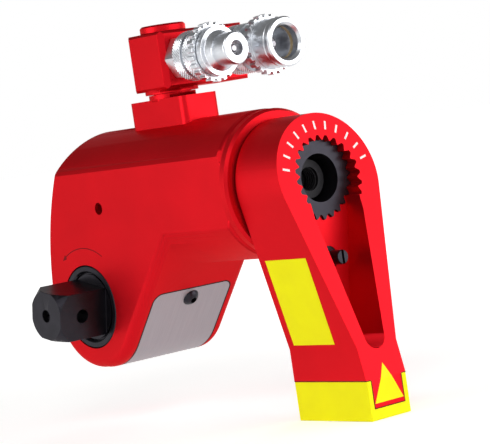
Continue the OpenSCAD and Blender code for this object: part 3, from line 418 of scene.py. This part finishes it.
def plain_mesh(piece):
    """Swaps a piece's modifiers for the mesh that they make."""
    graph = bpy.context.evaluated_depsgraph_get()
    baked = bpy.data.meshes.new_from_object(piece.evaluated_get(graph), depsgraph=graph)
    piece.modifiers.clear()
    piece.data = baked
    return piece


def new_piece(name, mesh):
    """Object at the origin that shows a mesh."""
    piece = bpy.data.objects.new(name, mesh)
    bpy.context.scene.collection.objects.link(piece)
    return piece


def dressed(name, width, shortest=2.0, flush=0.0):
    """Stands a copy of a node, with its sharp edges rounded, in for the node itself.

    Edges up to the shortest length stay sharp, and what is less than flush below the two sides
    comes up to them, both in millimetres. Corners that all but meet are joined, and flat faces
    are merged.
    """
    mesh = NODES[name].data.copy()
    shape = bmesh.new()
    shape.from_mesh(mesh)
    if flush > 0:
        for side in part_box(name):
            for spot in shape.verts:
                if abs(spot.co.y - side.y) < flush * MM:
                    spot.co.y = side.y
    bmesh.ops.remove_doubles(shape, verts=shape.verts, dist=WELD)
    bmesh.ops.dissolve_limit(shape, angle_limit=FLAT_UP_TO, verts=shape.verts, edges=shape.edges)
    weights = shape.edges.layers.float.new("bevel_weight_edge")
    for edge in shape.edges:
        if len(edge.link_faces) == 2 and edge.calc_length() > shortest * MM:
            edge[weights] = 1.0 if edge.calc_face_angle() > ROUNDED_FROM else 0.0
    for face in shape.faces:
        face.smooth = True
    shape.to_mesh(mesh)
    shape.free()
    mesh.materials.clear()
    mesh.materials.append(finish_of(name))
    piece = new_piece(name + "_finished", mesh)
    if width > 0:
        bevel = piece.modifiers.new("edges", "BEVEL")
        bevel.width = width
        bevel.segments = 3
        bevel.limit_method = "WEIGHT"
        plain_mesh(piece)
    piece.data.set_sharp_from_angle(angle=SHARP_FROM)
    # Large flat faces keep their own direction beside the rounded ones
    flats = piece.modifiers.new("flats", "WEIGHTED_NORMAL")
    flats.weight = 100
    flats.keep_sharp = True
    plain_mesh(piece)
    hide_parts(name)
    return keep(piece, BODY_OF[name])


def new_tree(name, sockets):
    """Geometry node tree with named inputs and one geometry output."""
    tree = bpy.data.node_groups.new(name, "GeometryNodeTree")
    tree.interface.new_socket("Geometry", in_out="OUTPUT", socket_type="NodeSocketGeometry")
    for label, kind in sockets.items():
        tree.interface.new_socket(label, in_out="INPUT", socket_type="NodeSocket" + kind)
    return tree, add(tree, "NodeGroupInput").outputs


def end_tree(tree, instances, material):
    """Makes the instances real, coats them and sends them out."""
    real = add(tree, "GeometryNodeRealizeInstances", {"Geometry": instances})
    coated = add(
        tree, "GeometryNodeSetMaterial", {"Geometry": real.outputs[0], "Material": material}
    )
    add(tree, "NodeGroupOutput", {0: coated.outputs[0]})
    return tree


def tree_for(build):
    """Node tree that a function builds, made the first time that it is asked for."""
    if build not in made:
        made[build] = build()
    return made[build]


def grown(name, build, values, body):
    """Runs a tree with its inputs set by identifier and keeps the plain mesh that comes out."""
    tree = tree_for(build)
    piece = new_piece(name, bpy.data.meshes.new(name))
    modifier = piece.modifiers.new("grow", "NODES")
    modifier.node_group = tree
    for item in tree.interface.items_tree:
        if item.in_out == "INPUT":
            modifier[item.identifier] = values[item.name]
    plain_mesh(piece)
    return keep(piece, body)


def bar_ring_tree():
    """Bars set round a circle about X, then turned and put in place."""
    tree, given = new_tree(
        "ring_of_bars",
        {
            "Count": "Int",
            "Radius": "Float",
            "Start": "Float",
            "Step": "Float",
            "Bar": "Vector",
            "Place": "Vector",
            "Turn": "Vector",
            "Material": "Material",
        },
    )
    line = add(tree, "GeometryNodeMeshLine", {"Count": given["Count"]})
    index = add(tree, "GeometryNodeInputIndex").outputs["Index"]
    angle = calc(tree, "MULTIPLY_ADD", index, given["Step"], given["Start"])
    across, up = calc(tree, "COSINE", angle), calc(tree, "SINE", angle)
    spot = add(tree, "ShaderNodeCombineXYZ", {"Y": across, "Z": up}).outputs[0]
    reach = add(
        tree, "ShaderNodeVectorMath", {0: spot, "Scale": given["Radius"]}, operation="SCALE"
    ).outputs[0]
    points = add(
        tree, "GeometryNodeSetPosition", {"Geometry": line.outputs["Mesh"], "Position": reach}
    )
    bar = add(tree, "GeometryNodeMeshCube", {"Size": given["Bar"]})
    lean = add(tree, "ShaderNodeCombineXYZ", {"X": angle}).outputs[0]
    bars = add(
        tree,
        "GeometryNodeInstanceOnPoints",
        {"Points": points.outputs[0], "Instance": bar.outputs["Mesh"], "Rotation": lean},
    )
    placed = add(
        tree,
        "GeometryNodeTransform",
        {"Geometry": bars.outputs[0], "Translation": given["Place"], "Rotation": given["Turn"]},
    )
    return end_tree(tree, placed.outputs[0], given["Material"])


def knurl_tree():
    """Diamond points in staggered rows round a cylinder along X."""
    tree, given = new_tree(
        "diamond_knurl",
        {
            "Around": "Int",
            "Rows": "Int",
            "Radius": "Float",
            "Length": "Float",
            "Height": "Float",
            "Place": "Vector",
            "Material": "Material",
        },
    )
    count = calc(tree, "MULTIPLY", given["Around"], given["Rows"])
    line = add(tree, "GeometryNodeMeshLine", {"Count": count})
    index = add(tree, "GeometryNodeInputIndex").outputs["Index"]
    share = calc(tree, "DIVIDE", index, given["Around"])
    row = calc(tree, "FLOOR", share)
    stagger = calc(tree, "DIVIDE", calc(tree, "MULTIPLY", row, 0.5), given["Around"])
    angle = calc(tree, "MULTIPLY", calc(tree, "ADD", share, stagger), 2 * math.pi)
    pitch = calc(tree, "DIVIDE", given["Length"], given["Rows"])
    along = calc(tree, "MULTIPLY", calc(tree, "ADD", row, 0.5), pitch)
    y = calc(tree, "MULTIPLY", calc(tree, "COSINE", angle), given["Radius"])
    z = calc(tree, "MULTIPLY", calc(tree, "SINE", angle), given["Radius"])
    spot = add(tree, "ShaderNodeCombineXYZ", {"X": along, "Y": y, "Z": z}).outputs[0]
    points = add(
        tree, "GeometryNodeSetPosition", {"Geometry": line.outputs["Mesh"], "Position": spot}
    )
    point = add(
        tree,
        "GeometryNodeMeshCone",
        {"Vertices": 4, "Radius Top": 0.0, "Radius Bottom": 1.0, "Depth": given["Height"]},
        fill_type="NONE",
    )
    tilt = calc(tree, "SUBTRACT", angle, math.pi / 2)
    lean = add(tree, "ShaderNodeCombineXYZ", {"X": tilt}).outputs[0]
    wide = calc(tree, "DIVIDE", calc(tree, "MULTIPLY", given["Radius"], math.pi), given["Around"])
    swell = add(tree, "ShaderNodeCombineXYZ", {"X": pitch, "Y": wide, "Z": 1.0}).outputs[0]
    diamonds = add(
        tree,
        "GeometryNodeInstanceOnPoints",
        {
            "Points": points.outputs[0],
            "Instance": point.outputs["Mesh"],
            "Rotation": lean,
            "Scale": swell,
        },
    )
    placed = add(
        tree,
        "GeometryNodeTransform",
        {"Geometry": diamonds.outputs[0], "Translation": given["Place"]},
    )
    return end_tree(tree, placed.outputs[0], given["Material"])


def from_shape(name, shape, material, body):
    """Piece of one material made from a bmesh, which is freed."""
    mesh = bpy.data.meshes.new(name)
    shape.to_mesh(mesh)
    shape.free()
    mesh.materials.append(material)
    return keep(new_piece(name, mesh), body)


def thin_sheet(name, corners, faces, lift, material, body):
    """Thin plate between flat faces on a surface and the same faces raised by a lift."""
    shape = bmesh.new()
    base = [shape.verts.new(corner) for corner in corners]
    raised = [shape.verts.new(Vector(corner) + lift) for corner in corners]
    for layer in (base, raised):
        for face in faces:
            shape.faces.new([layer[i] for i in face])
    # A side that two faces share has no wall
    sides = [side for face in faces for side in zip(face, face[1:] + face[:1])]
    for a, b in sides:
        if (b, a) not in sides:
            shape.faces.new((base[a], base[b], raised[b], raised[a]))
    bmesh.ops.recalc_face_normals(shape, faces=shape.faces)
    return from_shape(name, shape, material, body)


def thin_boxes(name, boxes, material, body):
    """Piece made of boxes along the axes, each given by its low and its high corner."""
    shape = bmesh.new()
    for low, high in boxes:
        low, high = Vector(low), Vector(high)
        place = Matrix.LocRotScale((low + high) / 2, None, high - low)
        bmesh.ops.create_cube(shape, size=1, matrix=place)
    return from_shape(name, shape, material, body)


def sheet_rim_strip(name, node, width, material, body):
    """Low strip of a width on the surface beside the outer rim of a thin wrapped sheet."""
    shape = bmesh.new()
    shape.from_mesh(NODES[node].data)
    bmesh.ops.remove_doubles(shape, verts=shape.verts, dist=WELD)
    shape.normal_update()
    solid = BVHTree.FromBMesh(shape)
    low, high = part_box("housing")
    middle = (low.y + high.y) / 2
    # A skin face has the sheet's other skin close behind it, found by a ray from just below it.
    # Rims near the middle belong to screw holes
    thickest, below, hole_reach, rim_turn = 2.5 * MM, 0.01 * MM, 6 * MM, math.radians(60)

    def on_skin(face):
        spot = face.calc_center_median()
        depth = solid.ray_cast(spot - face.normal * below, -face.normal)[3]
        return depth is not None and depth < thickest

    outward, away = {}, {}
    rims = []
    for edge in shape.edges:
        if edge.calc_face_angle(0) < rim_turn:
            continue
        skin, wall = sorted(edge.link_faces, key=on_skin, reverse=True)
        spot = skin.calc_center_median()
        inner = spot.x * skin.normal.x + spot.z * skin.normal.z < 0
        at_hole = all(abs(v.co.y - middle) < hole_reach for v in edge.verts)
        if inner or at_hole or not on_skin(skin) or on_skin(wall):
            continue
        rims.append(tuple(v.index for v in edge.verts))
        for v in edge.verts:
            outward[v.index] = outward.get(v.index, Vector()) + wall.normal
            away[v.index] = away.get(v.index, Vector()) + skin.normal
    shape.verts.ensure_lookup_table()
    shadow_strip = bmesh.new()
    rows = {}
    for i in outward:
        base, side, up = shape.verts[i].co, outward[i].normalized(), away[i].normalized()
        rows[i] = [
            shadow_strip.verts.new(base + side * across + up * lift)
            for across, lift in ((0, -FILM), (0, FILM), (width, FILM), (width, -FILM))
        ]
    shape.free()
    for a, b in rims:
        for k in range(4):
            following = (k + 1) % 4
            shadow_strip.faces.new((rows[a][k], rows[a][following], rows[b][following], rows[b][k]))
    bmesh.ops.recalc_face_normals(shadow_strip, faces=shadow_strip.faces)
    return from_shape(name, shadow_strip, material, body)


def winding_tree():
    """Wire wound along Z, turned and set at evenly spaced places."""
    tree, given = new_tree(
        "winding",
        {
            "Turns": "Float",
            "Radius": "Float",
            "Length": "Float",
            "Wire": "Float",
            "Sides": "Int",
            "Copies": "Int",
            "Place": "Vector",
            "Spacing": "Vector",
            "Turn": "Vector",
            "Material": "Material",
        },
    )
    path = add(
        tree,
        "GeometryNodeCurveSpiral",
        {
            "Resolution": 40,
            "Rotations": given["Turns"],
            "Start Radius": given["Radius"],
            "End Radius": given["Radius"],
            "Height": given["Length"],
        },
    )
    profile = add(
        tree,
        "GeometryNodeCurvePrimitiveCircle",
        {"Resolution": given["Sides"], "Radius": given["Wire"]},
    )
    wire = add(
        tree,
        "GeometryNodeCurveToMesh",
        {"Curve": path.outputs[0], "Profile Curve": profile.outputs[0], "Fill Caps": True},
    )
    places = add(
        tree,
        "GeometryNodeMeshLine",
        {"Count": given["Copies"], "Start Location": given["Place"], "Offset": given["Spacing"]},
    )
    windings = add(
        tree,
        "GeometryNodeInstanceOnPoints",
        {"Points": places.outputs["Mesh"], "Instance": wire.outputs[0], "Rotation": given["Turn"]},
    )
    return end_tree(tree, windings.outputs[0], given["Material"])


def coil(node, axis, row, travel):
    """Winds the coils that a node shows as sleeves in a row, with turns few enough to fit when the
    joint presses them.

    The axis points away from the end that stays put, and travel is the joint's, in metres.
    """
    along, beside = Vector(axis).normalized(), Vector(row).normalized()
    third = along.cross(beside)
    corners = [v.co for v in NODES[node].data.vertices]
    (foot, top), (left, right), (near, far) = (
        (min(c @ way for c in corners), max(c @ way for c in corners))
        for way in (along, beside, third)
    )
    radius = (far - near) / 2
    spread = right - left - 2 * radius
    length = top - foot
    wire = radius * (1 - COIL_SHARE) / 2
    first = third * (near + far) / 2 + beside * (left + radius)
    # Pressed, a coil stays clear of what presses it, and nine tenths of its length is wire
    clear, solid_share = 0.1 * MM, 0.9
    keep_share = 1 - (travel + clear) / length
    piece = grown(
        node + "_coil",
        winding_tree,
        {
            "Turns": solid_share * keep_share * length / (2 * wire),
            "Radius": radius - wire,
            "Length": length - 2 * wire,
            "Wire": wire,
            "Sides": 8,
            "Copies": 2 if spread > radius else 1,
            "Place": first + along * (foot + wire),
            "Spacing": beside * spread,
            "Turn": along.to_track_quat("Z", "Y").to_euler(),
            "Material": finish_of(node),
        },
        BODY_OF[node],
    )
    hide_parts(node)
    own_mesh(piece)


def arrow_outline(radius, start, end, half_line, half_head, steps=24):
    """Corners, as X and Z, and faces of a thin arc round the drive that ends in an arrowhead."""
    rims = radius - half_line, radius + half_line
    turns = [start + (end - start) * i / steps for i in range(steps + 1)]
    corners = [(rim * math.cos(turn), rim * math.sin(turn)) for turn in turns for rim in rims]
    faces = [(2 * i, 2 * i + 1, 2 * i + 3, 2 * i + 2) for i in range(steps)]
    tip = end + 3 * half_head / radius
    head = ((radius - half_head, end), (radius + half_head, end), (radius, tip))
    faces.append(tuple(range(len(corners), len(corners) + 3)))
    corners += [(rim * math.cos(turn), rim * math.sin(turn)) for rim, turn in head]
    return corners, faces


class WRENCH_OT_housing(bpy.types.Operator):
    """Finishes the housing, its bushes, the shroud and the shroud's screws"""

    bl_idname = "wrench.housing"
    bl_label = "Housing"

    def execute(self, context):
        dressed("housing", 0.0, flush=0.05)
        edge = context.scene.wrench_sizes.edge
        dressed("shroud", edge * 0.8)
        dressed("drive_bush_front", edge * 0.6)
        dressed("drive_bush_rear", edge * 0.6)
        dressed("shroud_screws", 0.0)
        # The dark strip round the shroud's outer rim is painted shadow of the gap between the sheet
        # and the housing
        width, shadow_line_finish = 0.8 * MM, finish_for("painted_gap_shade")
        sheet_rim_strip("shroud_rim_shadow", "shroud", width, shadow_line_finish, "housing")
        return {"FINISHED"}


class WRENCH_OT_drive(bpy.types.Operator):
    """Finishes the square drive, its plug, the retainer knob and its button"""

    bl_idname = "wrench.drive"
    bl_label = "Drive"

    def execute(self, context):
        sizes = context.scene.wrench_sizes
        dressed("square_drive", sizes.edge * 0.4, 4.0)
        dressed("tip_plug", 0.0)
        dressed("drive_retainer", 0.0)
        dressed("retainer_button", 0.3 * MM)
        # The ribs lie round the knob's rim, whose middle is a little below its outer face
        rim_r, rim_depth = 16 * MM, 4.2 * MM
        rib = (5.4 * MM, 0.9 * MM, 1.3 * MM)
        grown(
            "knob_ribs",
            bar_ring_tree,
            {
                "Count": sizes.ribs,
                "Radius": rim_r,
                "Start": 0.0,
                "Step": 2 * math.pi / sizes.ribs,
                "Bar": rib,
                "Place": (0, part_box("drive_retainer")[1].y - rim_depth, 0),
                "Turn": (0, 0, math.pi / 2),
                "Material": finish_for("black_oxide"),
            },
            "drive",
        )
        return {"FINISHED"}


class WRENCH_OT_arm(bpy.types.Operator):
    """Finishes the reaction arm, its foot guard, the splined post and the lock pin"""

    bl_idname = "wrench.arm"
    bl_label = "Reaction arm"

    def guard_gap_shadow(self):
        """Painted shadow: dark strips along the rim of the guard and round the pad in its window,
        where the gap's shade falls.
        """
        low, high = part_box("foot_guard")
        gap = 0.4 * MM
        middle = (low.y + high.y) / 2
        half_window, sill = WINDOW_W / 2 * MM, low.z + WINDOW_SILL * MM
        base, top = high.z, high.z + gap
        front = high.x - ARM_SLOPE * gap
        jambs = middle - half_window, middle + half_window
        lines = [
            ((low.x - FILM, low.y, base), (low.x + FILM, high.y, top)),
            ((high.x - FILM, jambs[0], sill), (high.x + FILM, jambs[1], sill + gap)),
        ]
        for side, jamb, inward in ((low.y, jambs[0], 1), (high.y, jambs[1], -1)):
            lines.append(((low.x, side - FILM, base), (front, side + FILM, top)))
            left, right = sorted((side, jamb))
            lines.append(((front - FILM, left, base), (high.x + FILM / 2, right, top)))
            left, right = sorted((jamb, jamb + inward * gap))
            lines.append(((high.x - FILM, left, sill + gap), (high.x + FILM, right, base)))
        thin_boxes("guard_gap_shadow", lines, finish_for("painted_gap_shade"), "arm")

    def execute(self, context):
        edge = context.scene.wrench_sizes.edge
        dressed("reaction_arm", edge, 3.0)
        dressed("foot_guard", edge * 0.6)
        self.guard_gap_shadow()
        dressed("end_cap", 0.0)
        dressed("tube_plug", 0.3 * MM)
        low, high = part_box("tube_plug")
        bore, ridge, turns, pitch = 6 * MM, 0.5 * MM, 5.0, 1.6 * MM
        mouth = 0.9 * MM
        grown(
            "plug_thread",
            winding_tree,
            {
                "Turns": turns,
                "Radius": bore,
                "Length": turns * pitch,
                "Wire": ridge,
                "Sides": 4,
                "Copies": 1,
                "Place": (high.x - mouth, (low.y + high.y) / 2, (low.z + high.z) / 2),
                "Spacing": (0, 0, 0),
                "Turn": (0, -math.pi / 2, 0),
                "Material": finish_of("tube_plug"),
            },
            BODY_OF["tube_plug"],
        )
        dressed("lock_pin", 0.2 * MM)
        return {"FINISHED"}


class WRENCH_OT_marks(bpy.types.Operator):
    """Adds the bare plates, the index marks on the ring and the turning arrow"""

    bl_idname = "wrench.marks"
    bl_label = "Plates and marks"

    def execute(self, context):
        low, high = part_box("reaction_arm")
        middle = (low.y + high.y) / 2
        yellow = finish_for("yellow_plastic")
        # The side plate lies on the tapered flank of the arm
        taper, half_at_axis = 0.238, 20.042
        flank = Vector((0, -1, -taper)).normalized()
        top, bottom, front, back = 17.5, -26.5, 169.0, 139.0
        corners = [
            (x * MM, middle - (half_at_axis + taper * z) * MM, z * MM)
            for x, z in ((front, top), (back, top), (back, bottom), (front, bottom))
        ]
        lift = flank * 0.15 * MM
        thin_sheet("side_plate", corners, [(0, 1, 2, 3)], lift, yellow, "arm")
        # The bare triangle folds where the slanted front meets the foot
        apex, fold, base, half_base = -38.0, -45.1, -56.5, 9.5
        half_fold = half_base * (apex - fold) / (apex - base)
        fold_x = high.x
        apex_x = fold_x - ARM_SLOPE * (apex - fold) * MM
        corners = [
            (apex_x, middle, apex * MM),
            (fold_x, middle - half_fold * MM, fold * MM),
            (fold_x, middle + half_fold * MM, fold * MM),
            (fold_x, middle + half_base * MM, base * MM),
            (fold_x, middle - half_base * MM, base * MM),
        ]
        faces = [(0, 1, 2), (1, 4, 3, 2)]
        lift = Vector((FILM, 0, 0))
        thin_sheet("foot_triangle", corners, faces, lift, yellow, "arm")
        # The index marks lie on the slanted face of the ring, centred at its top
        sizes = context.scene.wrench_sizes
        ring_x, ring_z, ring_r = 167.3 * MM, 54 * MM, 26.4 * MM
        mark = (0.16 * MM, 4.2 * MM, 1.1 * MM)
        step = math.radians(15)
        grown(
            "index_marks",
            bar_ring_tree,
            {
                "Count": sizes.marks,
                "Radius": ring_r,
                "Start": math.pi / 2 - (sizes.marks - 1) * step / 2,
                "Step": step,
                "Bar": mark,
                "Place": (ring_x, middle, ring_z),
                "Turn": (0, -math.atan(ARM_SLOPE), 0),
                "Material": mark_ink("white_index_ink", "#F4F2F0"),
            },
            "arm",
        )
        # The arrow lies on the housing's face, round the drive
        arrow_r, start, end = 31.8, math.radians(57), math.radians(119)
        half_line, half_head = 0.25, 1.3
        outline, faces = arrow_outline(arrow_r, start, end, half_line, half_head)
        corners = [(x * MM, 0, z * MM) for x, z in outline]
        lift = Vector((0, -FILM, 0))
        ink = mark_ink("dark_engraving", "#7E0912", Specular_IOR_Level=0.1)
        thin_sheet("turning_arrow", corners, faces, lift, ink, "housing")
        return {"FINISHED"}


class WRENCH_OT_swivel(bpy.types.Operator):
    """Finishes the swivel base, the block and the post's head"""

    bl_idname = "wrench.swivel"
    bl_label = "Swivel"

    def execute(self, context):
        edge = context.scene.wrench_sizes.edge
        dressed("swivel_base", edge)
        dressed("swivel_block", edge)
        dressed("swivel_post", edge * 2, 1.0)
        return {"FINISHED"}


class WRENCH_OT_couplers(bpy.types.Operator):
    """Finishes the adaptors, the couplers and their rings, and cuts the knurls"""

    bl_idname = "wrench.couplers"
    bl_label = "Couplers"

    def execute(self, context):
        sizes = context.scene.wrench_sizes
        for name in ("male_adaptor", "female_adaptor"):
            dressed(name, 0.3 * MM)
        for name in ("male_coupler", "female_coupler"):
            dressed(name, 0.25 * MM, 0.5)
        dressed("male_ring", 0.2 * MM, 0.5)
        dressed("female_sleeve", 0.2 * MM, 0.5)
        paint("male_poppet", "female_poppet", "female_seal")
        # Two knurled bands lie round each coupler, at these distances from its end
        radius, length, starts = 12.8 * MM, 5.6 * MM, (0.4 * MM, 8.8 * MM)
        for label in ("male", "female"):
            low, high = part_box(label + "_coupler")
            y, z = (low.y + high.y) / 2, (low.z + high.z) / 2
            for number, start in enumerate(starts):
                grown(
                    f"{label}_knurl_{number}",
                    knurl_tree,
                    {
                        "Around": round(2 * math.pi * radius / sizes.knurl_pitch),
                        "Rows": round(2 * length / sizes.knurl_pitch),
                        "Radius": radius,
                        "Length": length,
                        "Height": sizes.knurl_height,
                        "Place": (low.x + start, y, z),
                        "Material": finish_for("bright_zinc"),
                    },
                    "swivel",
                )
        return {"FINISHED"}


class WRENCH_OT_springs(bpy.types.Operator):
    """Winds the springs of the pawl, the button and the valves, with room to be pressed"""

    bl_idname = "wrench.springs"
    bl_label = "Springs"

    def execute(self, context):
        joints = {joint["name"]: joint for joint in frame["record"]["behaviour"]["joints"]}
        for node, joint, aside in (
            ("pawl_springs", "pawl_lift", (0, 1, 0)),
            ("button_spring", "button_push", (0, 0, -1)),
            ("male_spring", "male_valve_push", (0, 0, 1)),
            ("female_spring", "female_valve_push", (0, 0, 1)),
        ):
            push = Vector(joints[joint]["axis"])
            coil(node, -push, push.cross(aside), joints[joint]["range_m"][1])
        return {"FINISHED"}


class WRENCH_OT_inside(bpy.types.Operator):
    """Gives every inner piece the finish of its slot"""

    bl_idname = "wrench.inside"
    bl_label = "Inner pieces"

    def execute(self, context):
        paint(*(name for name, node in NODES.items() if not node.hide_render))
        return {"FINISHED"}


def by_ray(tree, plain, mirrored, seen):
    """Level for light on surfaces, for rays from mirrors and glass, and for the camera's rays."""
    ray = add(tree, "ShaderNodeLightPath").outputs
    bounced = calc(tree, "MAXIMUM", ray["Is Glossy Ray"], ray["Is Transmission Ray"])
    unseen = add(
        tree, "ShaderNodeMapRange", {"Value": bounced, "To Min": plain, "To Max": mirrored}
    )
    level = add(
        tree,
        "ShaderNodeMapRange",
        {"Value": ray["Is Camera Ray"], "To Min": unseen.outputs["Result"], "To Max": seen},
    )
    return level.outputs["Result"]


class WRENCH_OT_stage(bpy.types.Operator):
    """Sets the floor, the lamps, the background and the camera"""

    bl_idname = "wrench.stage"
    bl_label = "Studio"

    def execute(self, context):
        scene = context.scene
        scene.view_settings.view_transform = "Standard"
        low, high = CAD_BOX
        centre = (Vector(low) + Vector(high)) / 2
        floor_mesh = bpy.data.meshes.new("floor")
        reach, drop = 8.0, 0.2 * MM
        corners = ((-reach, -reach), (reach, -reach), (reach, reach), (-reach, reach))
        floor_mesh.from_pydata([(x, y, low[2] - drop) for x, y in corners], [], [(0, 1, 2, 3)])
        floor = new_piece("floor", floor_mesh)
        # White paper: matt, shadowed near the object and as bright as the background farther off
        paper = bpy.data.materials.new("white_paper")
        paper.use_nodes = True
        tree = paper.node_tree
        shader = tree.nodes["Principled BSDF"]
        shader.inputs["Base Color"].default_value = linear("#F4F4F2") + (1,)
        shader.inputs["Roughness"].default_value = 0.9
        shader.inputs["Emission Color"].default_value = (1, 1, 1, 1)
        spot = add(tree, "ShaderNodeTexCoord").outputs["Object"]
        away = add(tree, "ShaderNodeVectorMath", {0: spot}, operation="LENGTH").outputs["Value"]
        glow = add(
            tree,
            "ShaderNodeMapRange",
            {"Value": away, "From Min": 0.2, "From Max": 1.5, "To Min": 0.5, "To Max": 1.0},
        ).outputs["Result"]
        tree.links.new(by_ray(tree, 0.0, FLOOR_MIRRORED, glow), shader.inputs["Emission Strength"])
        floor_mesh.materials.append(paper)
        # The background is white from the floor up to a dark ceiling
        world = bpy.data.worlds.new("studio")
        scene.world = world
        world.use_nodes = True
        tree = world.node_tree
        sky = add(tree, "ShaderNodeTexCoord").outputs["Generated"]
        height = add(tree, "ShaderNodeSeparateXYZ", {0: sky}).outputs["Z"]
        wall = add(
            tree,
            "ShaderNodeMapRange",
            {"Value": height, "From Min": 0.12, "From Max": 0.5, "To Min": 1.0, "To Max": 0.27},
        )
        seen = wall.outputs["Result"]
        mirrored = calc(tree, "MULTIPLY", seen, WALL_MIRRORED)
        background = tree.nodes["Background"]
        background.inputs["Color"].default_value = (1, 1, 1, 1)
        fill_light = 0.22
        tree.links.new(by_ray(tree, fill_light, mirrored, seen), background.inputs["Strength"])
        # Lamps: direction and distance from the object's middle, side in metres, power in watts
        for name, direction, distance, size, power in (
            ("key_softbox", (0.95, 0.1, 0.1), 1.2, 0.7, 5.5),
            ("front_softbox", (0.58, -0.55, 0.58), 1.3, 0.5, 3.0),
            ("sheen_softbox", (0.77, 0.64, 0.1), 1.2, 0.8, 6.0),
            ("side_softbox", (-0.25, -0.95, 0.15), 1.3, 0.8, 9.0),
            ("back_softbox", (-0.25, 0.92, 0.3), 1.4, 0.7, 4.0),
        ):
            lamp = bpy.data.lights.new(name, "AREA")
            lamp.shape = "SQUARE"
            lamp.size = size
            lamp.energy = power
            holder = bpy.data.objects.new(name, lamp)
            scene.collection.objects.link(holder)
            toward = Vector(direction).normalized()
            turn = toward.to_track_quat("Z", "Y").to_matrix().to_4x4()
            holder.matrix_world = Matrix.Translation(centre + toward * distance) @ turn
        # The camera was fitted to the edges of the square, the barrel, the ring and the foot
        lens = bpy.data.cameras.new("camera")
        lens.sensor_width = 36
        lens.sensor_fit = "HORIZONTAL"
        lens.lens = 161.63
        lens.clip_start = 0.05
        eye = bpy.data.objects.new("camera", lens)
        scene.collection.objects.link(eye)
        right = Vector((0.63862, 0.75524, -0.14759))
        up = Vector((0.05717, 0.1447, 0.98782))
        back = Vector((0.7674, -0.63928, 0.04923))
        turn = Matrix((right, up, back)).transposed().to_4x4()
        eye.matrix_world = Matrix.Translation((0.96258, -0.68614, 0.09102)) @ turn
        scene.camera = eye
        return {"FINISHED"}


class WRENCH_PT_panel(bpy.types.Panel):
    """Lists the steps that dress the wrench"""

    bl_idname = "WRENCH_PT_panel"
    bl_label = "Hydraulic torque wrench"
    bl_space_type = "VIEW_3D"
    bl_region_type = "UI"
    bl_category = "Wrench"

    def draw(self, context):
        for step in STEPS:
            self.layout.operator(step.bl_idname)
        for group in (context.scene.wrench_colours, context.scene.wrench_sizes):
            for name in group.bl_rna.properties.keys():
                if name not in {"rna_type", "name"}:
                    self.layout.prop(group, name)


STEPS = (
    WRENCH_OT_stage,
    WRENCH_OT_housing,
    WRENCH_OT_drive,
    WRENCH_OT_arm,
    WRENCH_OT_marks,
    WRENCH_OT_swivel,
    WRENCH_OT_couplers,
    WRENCH_OT_springs,
    WRENCH_OT_inside,
)
CLASSES = (WrenchColours, WrenchSizes, *STEPS, WRENCH_PT_panel)


def register():
    for kind in CLASSES:
        bpy.utils.register_class(kind)
    bpy.types.Scene.wrench_colours = bpy.props.PointerProperty(type=WrenchColours)
    bpy.types.Scene.wrench_sizes = bpy.props.PointerProperty(type=WrenchSizes)


def unregister():
    del bpy.types.Scene.wrench_sizes
    del bpy.types.Scene.wrench_colours
    for kind in reversed(CLASSES):
        bpy.utils.unregister_class(kind)


def main():
    register()
    bpy.ops.wrench.stage()
    bpy.ops.wrench.housing()
    bpy.ops.wrench.drive()
    bpy.ops.wrench.arm()
    bpy.ops.wrench.marks()
    bpy.ops.wrench.swivel()
    bpy.ops.wrench.couplers()
    bpy.ops.wrench.springs()
    bpy.ops.wrench.inside()


if __name__ == "__main__":
    main()
